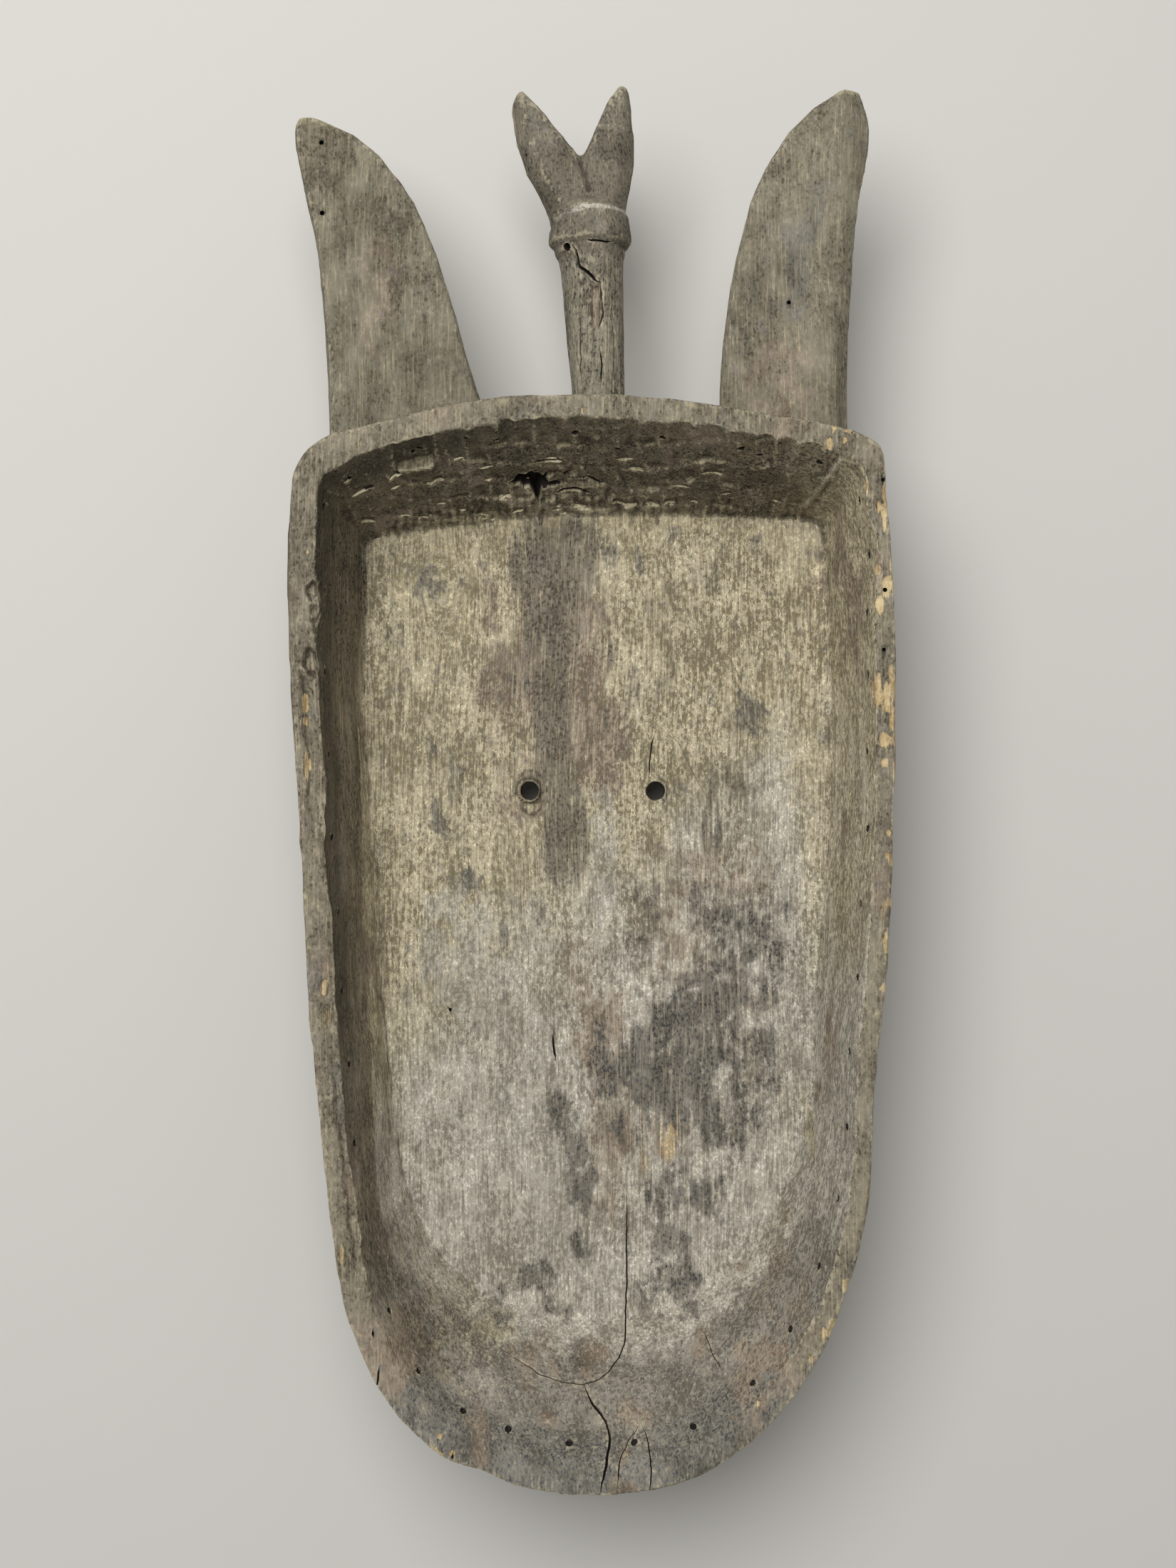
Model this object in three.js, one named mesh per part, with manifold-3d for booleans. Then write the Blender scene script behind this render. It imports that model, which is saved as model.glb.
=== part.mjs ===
// A long carved wooden Toma mask, lying on its face with the hollow back up.
// One block of wood gives the trough-shaped body, two flat horns and a forked crest.
// Millimetres. +X is right and +Y is towards the horns, seen from the back; +Z is up, out of the hollow.

import * as THREE from 'three';
import { mergeVertices } from 'three/addons/utils/BufferGeometryUtils.js';
import Module from 'manifold-3d';

const wasm = await Module();
wasm.setup();

// Driving dimensions
const rimHeight = 128;
const floorHeightAtTop = 49;
const floorHeightAtChin = 60;
const facePlaneHeight = 31;
const sightHoleSpacing = 69;
const sightHoleRadius = 5.1;
const lacingHoleRadius = 1.5;
const lacingDepth = 14;
const samplesPerSpan = 4;

// The rim's outline: a low arched crown, two blunt corners and sides that close in towards the chin. The left
// side runs in flat cuts down to the chin, and the right side in one even curve
const crownToLeftSide = [
  [-5, 197], [-60, 193.5], [-110, 182], [-137, 174.5], [-151, 161],
  [-155, 135], [-155, 70], [-150.5, -17], [-146, -95],
];
const leftSideToChin = [
  [-144.3, -130], [-140.3, -165], [-137.8, -195], [-130.3, -255], [-125.3, -278],
  [-104, -320.5], [-77, -346.8], [-55, -354.8], [-33, -363.3],
];
const rightSideToCrown = [
  [151, -95], [154, -30], [155.5, 26], [154.5, 105],
  [150.5, 148], [148, 170], [133, 178], [83, 188], [30, 195.5],
];
const chin = {
  centreX: -1,
  startY: -150,
  halfWidth: 146.5,
  reach: 217,
  exponent: 2.3,
};

// Rows of lacing holes, by their distance along the rim from the middle of the crown, left side first
const lacingRows = [
  { first: 4, last: 174, count: 5 },
  { first: 219, last: 347, count: 4 },
  { first: 386, last: 546, count: 5 },
  { first: 600, last: 678, count: 3 },
  { first: 708, last: 826, count: 4 },
  { first: 871, last: 1141, count: 8 },
  { first: 1180, last: 1260, count: 3 },
  { first: 1293, last: 1352, count: 3 },
  { first: 1406, last: 1490, count: 3 },
];

// How far each level lies inside the rim's outline, in millimetres, for the outer wall and for the hollow
const outerLevels = [
  { height: rimHeight, left: 0, right: 0, top: 0, bottom: 0 },
  { height: 104, left: 1.5, right: 1.5, top: 0.5, bottom: 8 },
  { height: 78, left: 4, right: 4, top: 1.5, bottom: 25 },
  { height: 56, left: 10, right: 10, top: 3, bottom: 46 },
  { height: 40, left: 19, right: 19, top: 6, bottom: 68 },
  { height: 26, left: 31, right: 31, top: 12, bottom: 92 },
  { height: 11, left: 44, right: 44, top: 24, bottom: 125 },
  { height: -3, left: 60, right: 60, top: 42, bottom: 160 },
];
const rimWidth = { left: 14, right: 10.5, top: 12, bottom: 16 };
const wallRun = { left: 16, right: 15, top: 40, bottom: 58 };
const creaseRadius = 6;

// The crown's end of the hollow is cut out to two square corners; its outline from above, left side first
const crownEnd = {
  atRim: [
    [-142, 60], [-141, 150.5], [-135, 157], [-116, 164.5], [-99, 170], [-50, 176],
    [0, 179], [60, 176], [107, 166], [125, 161], [136, 153], [140, 130], [141, 60],
  ],
  atFloor: [
    [-125.5, 60], [-125, 129.5], [-123, 131.5], [-109, 133.5], [-92, 136.5], [-50, 142],
    [0, 144], [60, 144], [100, 143], [115, 142], [124, 140.5], [127.5, 134], [128, 60],
  ],
};

// The front: a domed forehead that ends in a straight brow, a flat face and one long nose
const forehead = { centreY: 98, halfWidth: 138, halfHeight: 92, flatShare: 0.42, rise: 26 };
const brow = { lowerY: 12, upperY: 22 };
const nose = { tipY: -128, halfWidthAtBrow: 11, halfWidthAtTip: 20, heightAtBrow: 7, underside: 9 };
const cheekCurve = 7;
const chinLift = 9;

// The horns: flat at the back, rounded in front; each edge is given from the base to the tip
const hornBack = 106;
const hornBackAtTip = 100;
const hornThickness = 34;
const hornThicknessAtTip = 13;
const leftHorn = {
  outerEdge: [[-137.5, 172], [-139.5, 220], [-145.5, 280], [-152.5, 310], [-157, 340], [-155, 347]],
  innerEdge: [[-52, 182], [-62, 212], [-78, 266], [-97, 310], [-122, 336], [-146, 347.5]],
  chamfer: 2,
};
const rightHorn = {
  outerEdge: [[135, 172], [134.5, 206], [136.5, 250], [140.5, 300], [146.5, 340], [141, 361]],
  innerEdge: [[66.5, 182], [66, 206], [73, 265], [86, 311], [108, 345], [131, 362]],
  chamfer: 8,
};

// The crest: a round stem, a collar and two pointed prongs
const crestAxisHeight = 86;
const stem = [
  { y: 178, x: 3.4, radius: 13.8 },
  { y: 202, x: 3.3, radius: 14 },
  { y: 247, x: 1.1, radius: 15.7 },
  { y: 267, x: 0.2, radius: 16.7 },
  { y: 280, x: -1, radius: 18.2 },
];
const collar = [
  { y: 273, x: -1.2, radius: 15 },
  { y: 278, x: -1.2, radius: 20.4 },
  { y: 284, x: -1.1, radius: 22.6 },
  { y: 291, x: -1.1, radius: 21.6 },
  { y: 299, x: -2, radius: 20.8 },
  { y: 304, x: -3, radius: 17 },
];
const leftProng = {
  outerEdge: [
    [-19, 286], [-25.5, 303], [-31.3, 313], [-37, 325],
    [-40.4, 337.7], [-42.6, 350.5], [-42, 358], [-39, 363.4],
  ],
  innerEdge: [[9, 286], [5, 303], [0, 316], [-6, 327.8], [-18.3, 343], [-29.8, 357], [-36.5, 363.6]],
  thickness: 27,
  thicknessAtTip: 8,
};
const rightProng = {
  outerEdge: [
    [15, 286], [18.6, 303], [21, 312], [22.6, 325],
    [22.6, 338], [21.3, 350.5], [19.7, 363.4], [17.4, 367],
  ],
  innerEdge: [
    [-14, 286], [-12, 303], [-9, 316], [-5.8, 328.2],
    [1.7, 343], [7.7, 357], [12.4, 363.5], [14.6, 367],
  ],
  thickness: 25,
  thicknessAtTip: 7,
};

function curveThrough(points, closed = false) {
  const vectors = points.map(([x, y]) => new THREE.Vector3(x, y, 0));
  return new THREE.CatmullRomCurve3(vectors, closed, 'centripetal');
}

function chinPoint(angleDegrees) {
  const angle = THREE.MathUtils.degToRad(angleDegrees);
  const power = 2 / chin.exponent;
  const x = chin.centreX + chin.halfWidth * Math.cos(angle) ** power;
  return [x, chin.startY - chin.reach * Math.sin(angle) ** power];
}

function makeRimCurve() {
  const chinPoints = [];
  for (let angle = 90; angle >= 0; angle -= 15) chinPoints.push(chinPoint(angle));
  const points = [...crownToLeftSide, ...leftSideToChin, ...chinPoints, ...rightSideToCrown];
  const curve = curveThrough(points, true);
  curve.arcLengthDivisions = 1200;
  return curve;
}

// Each span between two of the curve's points has the same number of samples, so the corners get the most
const rimCurve = makeRimCurve();
const outlineSamples = rimCurve.points.length * samplesPerSpan;
const rimOutline = rimCurve.getPoints(outlineSamples).slice(0, outlineSamples);
const rimBox = new THREE.Box3().setFromPoints(rimOutline);

// The rim's outline drawn in by its own amount on each of the four sides
function drawnIn(inset, heightAt) {
  const low = new THREE.Vector2(rimBox.min.x + inset.left, rimBox.min.y + inset.bottom);
  const high = new THREE.Vector2(rimBox.max.x - inset.right, rimBox.max.y - inset.top);
  return rimOutline.map((point) => {
    const x = THREE.MathUtils.mapLinear(point.x, rimBox.min.x, rimBox.max.x, low.x, high.x);
    const y = THREE.MathUtils.mapLinear(point.y, rimBox.min.y, rimBox.max.y, low.y, high.y);
    return new THREE.Vector3(x, y, heightAt(y));
  });
}

function geometryOf(positions, triangles) {
  const geometry = new THREE.BufferGeometry();
  geometry.setAttribute('position', new THREE.Float32BufferAttribute(positions, 3));
  geometry.setIndex(triangles);
  return geometry;
}

// A closed solid through rings that have the same number of points, with a fan over each end
function loft(rings) {
  const count = rings[0].length;
  const positions = rings.flat().flatMap((point) => point.toArray());
  const triangles = [];
  for (let r = 0; r + 1 < rings.length; r += 1) {
    for (let i = 0; i < count; i += 1) {
      const j = (i + 1) % count;
      const [a, b, c, d] = [r * count + i, r * count + j, (r + 1) * count + j, (r + 1) * count + i];
      triangles.push(a, b, c, a, c, d);
    }
  }
  const addFan = (ring, first, turned) => {
    const centre = ring.reduce((sum, point) => sum.add(point), new THREE.Vector3()).divideScalar(count);
    const tip = positions.length / 3;
    positions.push(...centre.toArray());
    for (let i = 0; i < count; i += 1) {
      const j = (i + 1) % count;
      if (turned) triangles.push(tip, first + j, first + i);
      else triangles.push(tip, first + i, first + j);
    }
  };
  addFan(rings[0], 0, true);
  addFan(rings[rings.length - 1], (rings.length - 1) * count, false);
  return geometryOf(positions, triangles);
}

function signedVolume(geometry) {
  const index = geometry.index.array;
  const position = geometry.getAttribute('position');
  const [a, b, c] = [new THREE.Vector3(), new THREE.Vector3(), new THREE.Vector3()];
  let volume = 0;
  for (let i = 0; i < index.length; i += 3) {
    a.fromBufferAttribute(position, index[i]);
    b.fromBufferAttribute(position, index[i + 1]);
    c.fromBufferAttribute(position, index[i + 2]);
    volume += a.dot(b.cross(c)) / 6;
  }
  return volume;
}

function solidOf(geometry) {
  const bare = geometry.clone();
  bare.deleteAttribute('normal');
  bare.deleteAttribute('uv');
  const merged = mergeVertices(bare, 1e-4);
  const triVerts = new Uint32Array(merged.index.array);
  if (signedVolume(merged) < 0) {
    for (let i = 0; i < triVerts.length; i += 3) {
      [triVerts[i], triVerts[i + 1]] = [triVerts[i + 1], triVerts[i]];
    }
  }
  const vertProperties = new Float32Array(merged.getAttribute('position').array);
  return new wasm.Manifold(new wasm.Mesh({ numProp: 3, vertProperties, triVerts }));
}

function outerForm() {
  return solidOf(loft(outerLevels.map((level) => drawnIn(level, () => level.height))));
}

function floorHeight(y) {
  const low = rimBox.min.y + rimWidth.bottom + wallRun.bottom;
  const high = rimBox.max.y - rimWidth.top - wallRun.top;
  return THREE.MathUtils.mapLinear(y, low, high, floorHeightAtChin, floorHeightAtTop);
}

// The hollow from above the rim down to its floor; share is how far down the wall a level lies
function hollow() {
  const insetAt = (share) => ({
    left: rimWidth.left + wallRun.left * share,
    right: rimWidth.right + wallRun.right * share,
    top: rimWidth.top + wallRun.top * share,
    bottom: rimWidth.bottom + wallRun.bottom * share,
  });
  const heightOnWall = (share) => (y) => THREE.MathUtils.lerp(rimHeight, floorHeight(y), share);
  const wallLevel = (share) => drawnIn(insetAt(share), heightOnWall(share));
  const aboveRim = drawnIn(insetAt(-0.15), () => rimHeight + 12);
  const creaseStart = drawnIn(insetAt(0.95), (y) => floorHeight(y) + creaseRadius);
  const floorEdge = drawnIn(insetAt(1.02), (y) => floorHeight(y));
  return solidOf(loft([aboveRim, wallLevel(0), wallLevel(0.35), wallLevel(0.7), creaseStart, floorEdge]));
}

// What is cut out of the hollow's two upper corners; the walls run on straight to a little above the rim
function squareCorners() {
  const atFloor = crownEnd.atFloor.map(([x, y]) => new THREE.Vector3(x, y, floorHeight(y)));
  const atRim = crownEnd.atRim.map(([x, y]) => new THREE.Vector3(x, y, rimHeight));
  const aboveRim = atRim.map((point, i) => atFloor[i].clone().lerp(point, 1.1));
  return solidOf(loft([aboveRim, atRim, atFloor]));
}

function noseHalfWidth(y) {
  const share = THREE.MathUtils.clamp((brow.upperY - y) / (brow.upperY - nose.tipY), 0, 1);
  return THREE.MathUtils.lerp(nose.halfWidthAtBrow, nose.halfWidthAtTip, share ** 1.4);
}

// Height of the carved front above the ground that it lies on
function frontHeight(x, y) {
  const down = THREE.MathUtils.clamp((nose.tipY - y) / 200, 0, 1);
  const face = facePlaneHeight + cheekCurve * (x / forehead.halfWidth) ** 2 + chinLift * down ** 2;
  const reach = Math.hypot(x / forehead.halfWidth, (y - forehead.centreY) / forehead.halfHeight);
  const beyondFlat = Math.max(0, reach - forehead.flatShare) / (1 - forehead.flatShare);
  const dome = forehead.rise * beyondFlat ** 2;
  const browShare = THREE.MathUtils.smoothstep(y, brow.lowerY, brow.upperY);
  const ground = THREE.MathUtils.lerp(face, Math.min(dome, face), browShare);
  const fromBrow = THREE.MathUtils.clamp((brow.upperY - y) / (brow.upperY - nose.tipY), 0, 1);
  const ridge = nose.heightAtBrow * Math.max(0, 1 - fromBrow / 0.85);
  const across = Math.abs(x) / noseHalfWidth(y);
  const sideShare = 1 - THREE.MathUtils.smoothstep(across, 0.42, 1);
  const tipShare = THREE.MathUtils.smoothstep(y, nose.tipY - nose.underside, nose.tipY);
  return THREE.MathUtils.lerp(ground, Math.min(ridge, ground), sideShare * tipShare);
}

// Everything above the carved front, as a block whose underside is that relief
function frontRelief() {
  const noseShares = [0, 0.42, 0.6, 0.8, 1];
  const cheekLines = [30, 44, 60, 78, 96, 114, 130, 145, 170];
  const yLines = [
    -390, -350, -310, -270, -230, -190, -160, nose.tipY - nose.underside, nose.tipY - 4, nose.tipY,
    -120, -100, -75, -50, -25, -5, brow.lowerY, 14.5, 17, 19.5, brow.upperY,
    30, 42, 58, 75, 92, 110, 126, 142, 156, 170, 184, 215,
  ];
  const halfLine = (y) => [...noseShares.map((share) => share * noseHalfWidth(y)), ...cheekLines];
  const lines = yLines.map((y) => {
    const half = halfLine(y);
    return [...half.slice(1).reverse().map((x) => -x), ...half].map((x) => [x, y]);
  });
  const columns = lines[0].length;
  const positions = [];
  const top = rimHeight + 30;
  lines.flat().forEach(([x, y]) => positions.push(x, y, frontHeight(x, y)));
  lines.flat().forEach(([x, y]) => positions.push(x, y, top));
  const sheet = lines.length * columns;
  const triangles = [];
  const addQuad = (a, b, c, d) => triangles.push(a, b, c, a, c, d);
  for (let r = 0; r + 1 < lines.length; r += 1) {
    for (let c = 0; c + 1 < columns; c += 1) {
      const a = r * columns + c;
      addQuad(a, a + columns, a + columns + 1, a + 1);
      addQuad(sheet + a, sheet + a + 1, sheet + a + columns + 1, sheet + a + columns);
    }
  }
  for (let c = 0; c + 1 < columns; c += 1) {
    const last = (lines.length - 1) * columns + c;
    addQuad(c, c + 1, sheet + c + 1, sheet + c);
    addQuad(last + 1, last, sheet + last, sheet + last + 1);
  }
  for (let r = 0; r + 1 < lines.length; r += 1) {
    const first = r * columns;
    const last = first + columns - 1;
    addQuad(first + columns, first, sheet + first, sheet + first + columns);
    addQuad(last, last + columns, sheet + last + columns, sheet + last);
  }
  return solidOf(geometryOf(positions, triangles));
}

// A bar between two edges, lofted from base to tip; section gives its outline from the two edge points
function edgedBar(outerEdge, innerEdge, stations, section) {
  const [outer, inner] = [curveThrough(outerEdge), curveThrough(innerEdge)];
  const rings = [];
  for (let i = 0; i <= stations; i += 1) {
    const share = i / stations;
    const from = outer.getPoint(share);
    const across = inner.getPoint(share).sub(from);
    const ring = section(share, across.length()).map(([along, height]) => {
      const point = from.clone().addScaledVector(across, along / across.length());
      return point.setZ(height);
    });
    rings.push(ring);
  }
  return solidOf(loft(rings));
}

function horn({ outerEdge, innerEdge, chamfer }) {
  return edgedBar(outerEdge, innerEdge, 16, (share, width) => {
    const back = THREE.MathUtils.lerp(hornBack, hornBackAtTip, share);
    const thickness = THREE.MathUtils.lerp(hornThickness, hornThicknessAtTip, share);
    const corner = Math.min(chamfer, width * 0.3);
    const round = Math.min(3, width * 0.2);
    return [
      [corner, back],
      [width * 0.5, back + 0.6],
      [width - round, back],
      [width, back - round],
      [width * 0.97, back - thickness * 0.45],
      [width * 0.78, back - thickness * 0.85],
      [width * 0.5, back - thickness],
      [width * 0.24, back - thickness * 0.9],
      [width * 0.04, back - thickness * 0.62],
      [0, back - thickness * 0.3],
    ];
  });
}

// A prong is flat at the back and in front, bevelled along its outer edge and square towards the notch
function prong({ outerEdge, innerEdge, thickness, thicknessAtTip }) {
  return edgedBar(outerEdge, innerEdge, 14, (share, width) => {
    const half = THREE.MathUtils.lerp(thickness, thicknessAtTip, share ** 1.3) / 2;
    const bevel = Math.min(8, width * 0.32);
    const round = Math.min(2.5, width * 0.15);
    return [
      [0, crestAxisHeight + half * 0.1],
      [bevel, crestAxisHeight + half],
      [width - round, crestAxisHeight + half],
      [width, crestAxisHeight + half - round],
      [width, crestAxisHeight - half + round],
      [width - round, crestAxisHeight - half],
      [bevel, crestAxisHeight - half],
      [0, crestAxisHeight - half * 0.3],
    ];
  });
}

function roundBar(stations, sides = 20) {
  const rings = stations.map(({ x, y, radius }) => {
    const ring = [];
    for (let i = 0; i < sides; i += 1) {
      const angle = (i / sides) * 2 * Math.PI;
      const height = crestAxisHeight + radius * Math.sin(angle);
      ring.push(new THREE.Vector3(x + radius * Math.cos(angle), y, height));
    }
    return ring;
  });
  return solidOf(loft(rings));
}

function crest() {
  return roundBar(stem).add(roundBar(collar)).add(prong(leftProng)).add(prong(rightProng));
}

// A tapered drill from one point to another
function drill(from, to, radiusFrom, radiusTo, sides) {
  const length = from.distanceTo(to);
  const geometry = new THREE.CylinderGeometry(radiusTo, radiusFrom, length, sides, 1);
  const along = to.clone().sub(from).normalize();
  geometry.applyQuaternion(new THREE.Quaternion().setFromUnitVectors(new THREE.Vector3(0, 1, 0), along));
  const middle = from.clone().add(to).multiplyScalar(0.5);
  geometry.translate(middle.x, middle.y, middle.z);
  return solidOf(geometry);
}

function sightHole(side) {
  const x = 0.3 + (side * sightHoleSpacing) / 2;
  const y = -6.4;
  const inside = new THREE.Vector3(x, y, floorHeight(y) + 10);
  const outside = new THREE.Vector3(x, y, facePlaneHeight - 10);
  return drill(inside, outside, sightHoleRadius, sightHoleRadius * 0.9, 16);
}

// Small holes through the wall just under the rim, for the raffia that hung from it
function lacingHoles() {
  const height = rimHeight - lacingDepth;
  const length = rimCurve.getLength();
  const holes = [];
  for (const { first, last, count } of lacingRows) {
    for (let k = 0; k < count; k += 1) {
      const share = THREE.MathUtils.lerp(first, last, k / (count - 1)) / length;
      const edge = rimCurve.getPointAt(share);
      const along = rimCurve.getTangentAt(share);
      const outward = new THREE.Vector3(-along.y, along.x, 0).negate();
      const inside = edge.clone().addScaledVector(outward, -38).setZ(height + 2);
      const outside = edge.clone().addScaledVector(outward, 12).setZ(height - 3);
      holes.push(drill(inside, outside, lacingHoleRadius, lacingHoleRadius, 6));
    }
  }
  return holes;
}

function carveMask() {
  const blank = outerForm().intersect(frontRelief());
  const horned = blank.add(horn(leftHorn)).add(horn(rightHorn)).add(crest());
  let mask = horned.subtract(hollow()).subtract(squareCorners());
  for (const hole of [sightHole(-1), sightHole(1), ...lacingHoles()]) mask = mask.subtract(hole);
  return mask;
}

function meshOf(solid, name, material) {
  const { vertProperties, triVerts } = solid.getMesh();
  const geometry = geometryOf(Array.from(vertProperties), Array.from(triVerts));
  geometry.computeVertexNormals();
  const mesh = new THREE.Mesh(geometry, material);
  mesh.name = name;
  return mesh;
}

const agedWood = new THREE.MeshStandardMaterial({ color: 0x6f6450, roughness: 0.82, metalness: 0 });
const mask = meshOf(carveMask(), 'mask', agedWood);

// The origin lies on the ground under the middle of the object
const wholeBox = new THREE.Box3().setFromObject(mask);
const middle = wholeBox.getCenter(new THREE.Vector3());
const group = new THREE.Group();
group.add(mask);
mask.position.set(-middle.x, -middle.y, -wholeBox.min.z);

export default group;
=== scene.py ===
"""A long carved wooden Toma mask, lying on its face so that its hollow back looks up.

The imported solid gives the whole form. It is copied, given an even skin of small faces, carved again in
code with the marks of the adze and the gouge, chipped, pierced and cracked, and dressed as old hardwood.
"""

import logging
import math
from dataclasses import dataclass
from enum import Enum
from itertools import product

import bmesh
import bpy
import numpy as np
from mathutils import Matrix, Vector
from mathutils.bvhtree import BVHTree
from mathutils.geometry import convex_hull_2d


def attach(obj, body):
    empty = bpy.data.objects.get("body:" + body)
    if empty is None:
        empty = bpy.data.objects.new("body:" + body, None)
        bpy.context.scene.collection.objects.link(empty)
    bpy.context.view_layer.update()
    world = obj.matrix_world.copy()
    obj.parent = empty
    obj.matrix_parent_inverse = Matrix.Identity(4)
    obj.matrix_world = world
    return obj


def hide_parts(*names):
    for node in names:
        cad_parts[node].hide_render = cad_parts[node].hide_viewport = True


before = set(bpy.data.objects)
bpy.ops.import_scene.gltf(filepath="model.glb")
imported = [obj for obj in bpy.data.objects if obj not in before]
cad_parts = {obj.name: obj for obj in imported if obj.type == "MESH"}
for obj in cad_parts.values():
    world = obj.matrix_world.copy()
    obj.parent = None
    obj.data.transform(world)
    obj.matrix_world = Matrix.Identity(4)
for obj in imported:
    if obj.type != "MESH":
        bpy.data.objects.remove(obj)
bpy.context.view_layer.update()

MM = 0.001
NODE = "mask"
TRIANGLES = 178000
SHARP_ANGLE = 42.0
log = logging.getLogger("mask")


def smoothstep(value: np.ndarray, low: float, high: float) -> np.ndarray:
    """Rises smoothly from 0 at low to 1 at high, or falls where high is the lower of the two."""
    share = np.clip((value - low) / (high - low), 0.0, 1.0)
    return share * share * (3.0 - 2.0 * share)


def bell(distance: np.ndarray, reach: float) -> np.ndarray:
    """One at no distance, falling smoothly to 0 at the reach."""
    return smoothstep(np.abs(distance), reach, 0.0)


def cell_value(cells: np.ndarray, seed: int) -> np.ndarray:
    """Gives each whole-numbered cell a value of its own.

    Args:
        cells: Whole numbers, three for each cell.
        seed: Picks one of many patterns.

    Returns:
        A value from 0 to 1 for each cell, the same on every run.
    """
    whole = cells.astype(np.int64).astype(np.uint32)
    mixed = whole[:, 0] * np.uint32(0x8DA6B343)
    mixed ^= whole[:, 1] * np.uint32(0xD8163841)
    mixed ^= whole[:, 2] * np.uint32(0xCB1AB31F)
    mixed ^= np.uint32(seed * 0x9E3779B1 % 2**32)
    for shift, factor in ((15, 0x2C1B3C6D), (12, 0x297A2D39)):
        mixed ^= mixed >> np.uint32(shift)
        mixed *= np.uint32(factor)
    mixed ^= mixed >> np.uint32(15)
    return mixed.astype(np.float64) / 2**32


def noise(points: np.ndarray, size: tuple[float, float, float], seed: int, octaves: int = 1) -> np.ndarray:
    """Smooth noise in space.

    Args:
        points: Places in millimetres, three numbers each.
        size: How long one swell of the noise is along each axis, in millimetres.
        seed: Picks one of many patterns.
        octaves: How many finer layers are added, each half the size and half the strength of the last.

    Returns:
        A value from -1 to 1 for each place.
    """
    scaled = points / np.asarray(size)
    total = np.zeros(len(points))
    weight = 1.0
    weights = 0.0
    for octave in range(octaves):
        place = scaled * 2.0**octave + 7.31 * octave
        base = np.floor(place)
        share = place - base
        share = share**3 * (share * (share * 6.0 - 15.0) + 10.0)
        value = np.zeros(len(points))
        for corner in product((0, 1), repeat=3):
            part = np.ones(len(points))
            for axis, side in enumerate(corner):
                part *= share[:, axis] if side else 1.0 - share[:, axis]
            value += part * cell_value(base + corner, seed + 31 * octave)
        total += weight * (2.0 * value - 1.0)
        weights += weight
        weight *= 0.5
    return total / weights


def tool_marks(across: np.ndarray, down: np.ndarray, width: float, length: float, seed: int,
               ledge: bool = False) -> np.ndarray:
    """Rows of gouge or adze marks that lie side by side.

    Args:
        across: Distance across the marks, in millimetres.
        down: Distance along the marks, in millimetres.
        width: Width of one mark.
        length: Length of one mark.
        seed: Picks one of many patterns.
        ledge: True where each mark deepens on its way down and ends in a step.

    Returns:
        How deep the mark is at each place, from 0 to 1.
    """
    flat = np.stack([across, down, np.zeros_like(across)], axis=1)
    drift = noise(flat, (2.6 * width, 1.9 * length, 1.0), seed)
    rows = down / length + 0.34 * drift
    row = np.floor(rows)
    layer = np.full_like(row, seed)
    shift = cell_value(np.stack([row, layer, layer], axis=1), seed)
    columns = across / width + shift + 0.3 * noise(flat, (3.1 * width, 1.4 * length, 1.0), seed + 1)
    column = np.floor(columns)
    own = cell_value(np.stack([row, column, layer], axis=1), seed + 2)
    hollowed = 1.0 - (2.0 * (columns - column) - 1.0) ** 2
    along = rows - row
    if ledge:
        fall = along**0.8 * smoothstep(along, 1.0, 0.86)
    else:
        fall = np.sqrt(np.clip(4.0 * along * (1.0 - along), 0.0, 1.0))
    return (0.45 + 0.55 * own) * hollowed**0.8 * fall


def distance_to_line(points: np.ndarray, start_x: float, start_y: float, end_x: float,
                     end_y: float) -> np.ndarray:
    """How far each point lies from a straight line between two places, seen from above, in millimetres.

    Args:
        points: Places in millimetres.
        start_x, start_y: Where the line starts.
        end_x, end_y: Where the line ends.

    Returns:
        The distance of each place, in millimetres.
    """
    start, end = np.array([start_x, start_y]), np.array([end_x, end_y])
    share = np.clip((points[:, :2] - start) @ (end - start) / ((end - start) ** 2).sum(), 0.0, 1.0)
    return np.linalg.norm(points[:, :2] - start - share[:, None] * (end - start), axis=1)


def vertex_array(mesh: bpy.types.Mesh) -> np.ndarray:
    """The mesh's vertices in millimetres, one row each.

    Args:
        mesh: The mesh.

    Returns:
        The places, three numbers each.
    """
    flat = np.empty(len(mesh.vertices) * 3, np.float32)
    mesh.vertices.foreach_get("co", flat)
    return flat.reshape(-1, 3).astype(np.float64) / MM


def apply_modifier(piece: bpy.types.Object, kind: str, **settings: object) -> None:
    """Puts one modifier on a piece and makes its result the piece's own mesh.

    Args:
        piece: The piece that is changed.
        kind: The modifier's kind.
        settings: The modifier's settings.
    """
    modifier = piece.modifiers.new(kind.title(), kind)
    for name, value in settings.items():
        setattr(modifier, name, value)
    graph = bpy.context.evaluated_depsgraph_get()
    mesh = bpy.data.meshes.new_from_object(piece.evaluated_get(graph))
    piece.modifiers.remove(modifier)
    old = piece.data
    piece.data = mesh
    bpy.data.meshes.remove(old)


def put_in_scene(name: str, data: bpy.types.ID) -> bpy.types.Object:
    """Makes an object of a mesh, a lamp or a camera and links it to the scene.

    Args:
        name: The object's name.
        data: What the object holds.

    Returns:
        The new object.
    """
    item = bpy.data.objects.new(name, data)
    bpy.context.scene.collection.objects.link(item)
    return item


def give_group(piece: bpy.types.Object, name: str, weights: np.ndarray, steps: int = 12) -> None:
    """Gives a piece a vertex group, with its weights rounded to a few steps.

    Args:
        piece: The piece that gets the group.
        name: The group's name.
        weights: One weight from 0 to 1 for each vertex.
        steps: How many steps the weights are rounded to.
    """
    group = piece.vertex_groups.new(name=name)
    level = np.rint(np.clip(weights, 0.0, 1.0) * steps).astype(int)
    for step in range(1, steps + 1):
        group.add(np.flatnonzero(level == step).tolist(), step / steps, "REPLACE")


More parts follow.
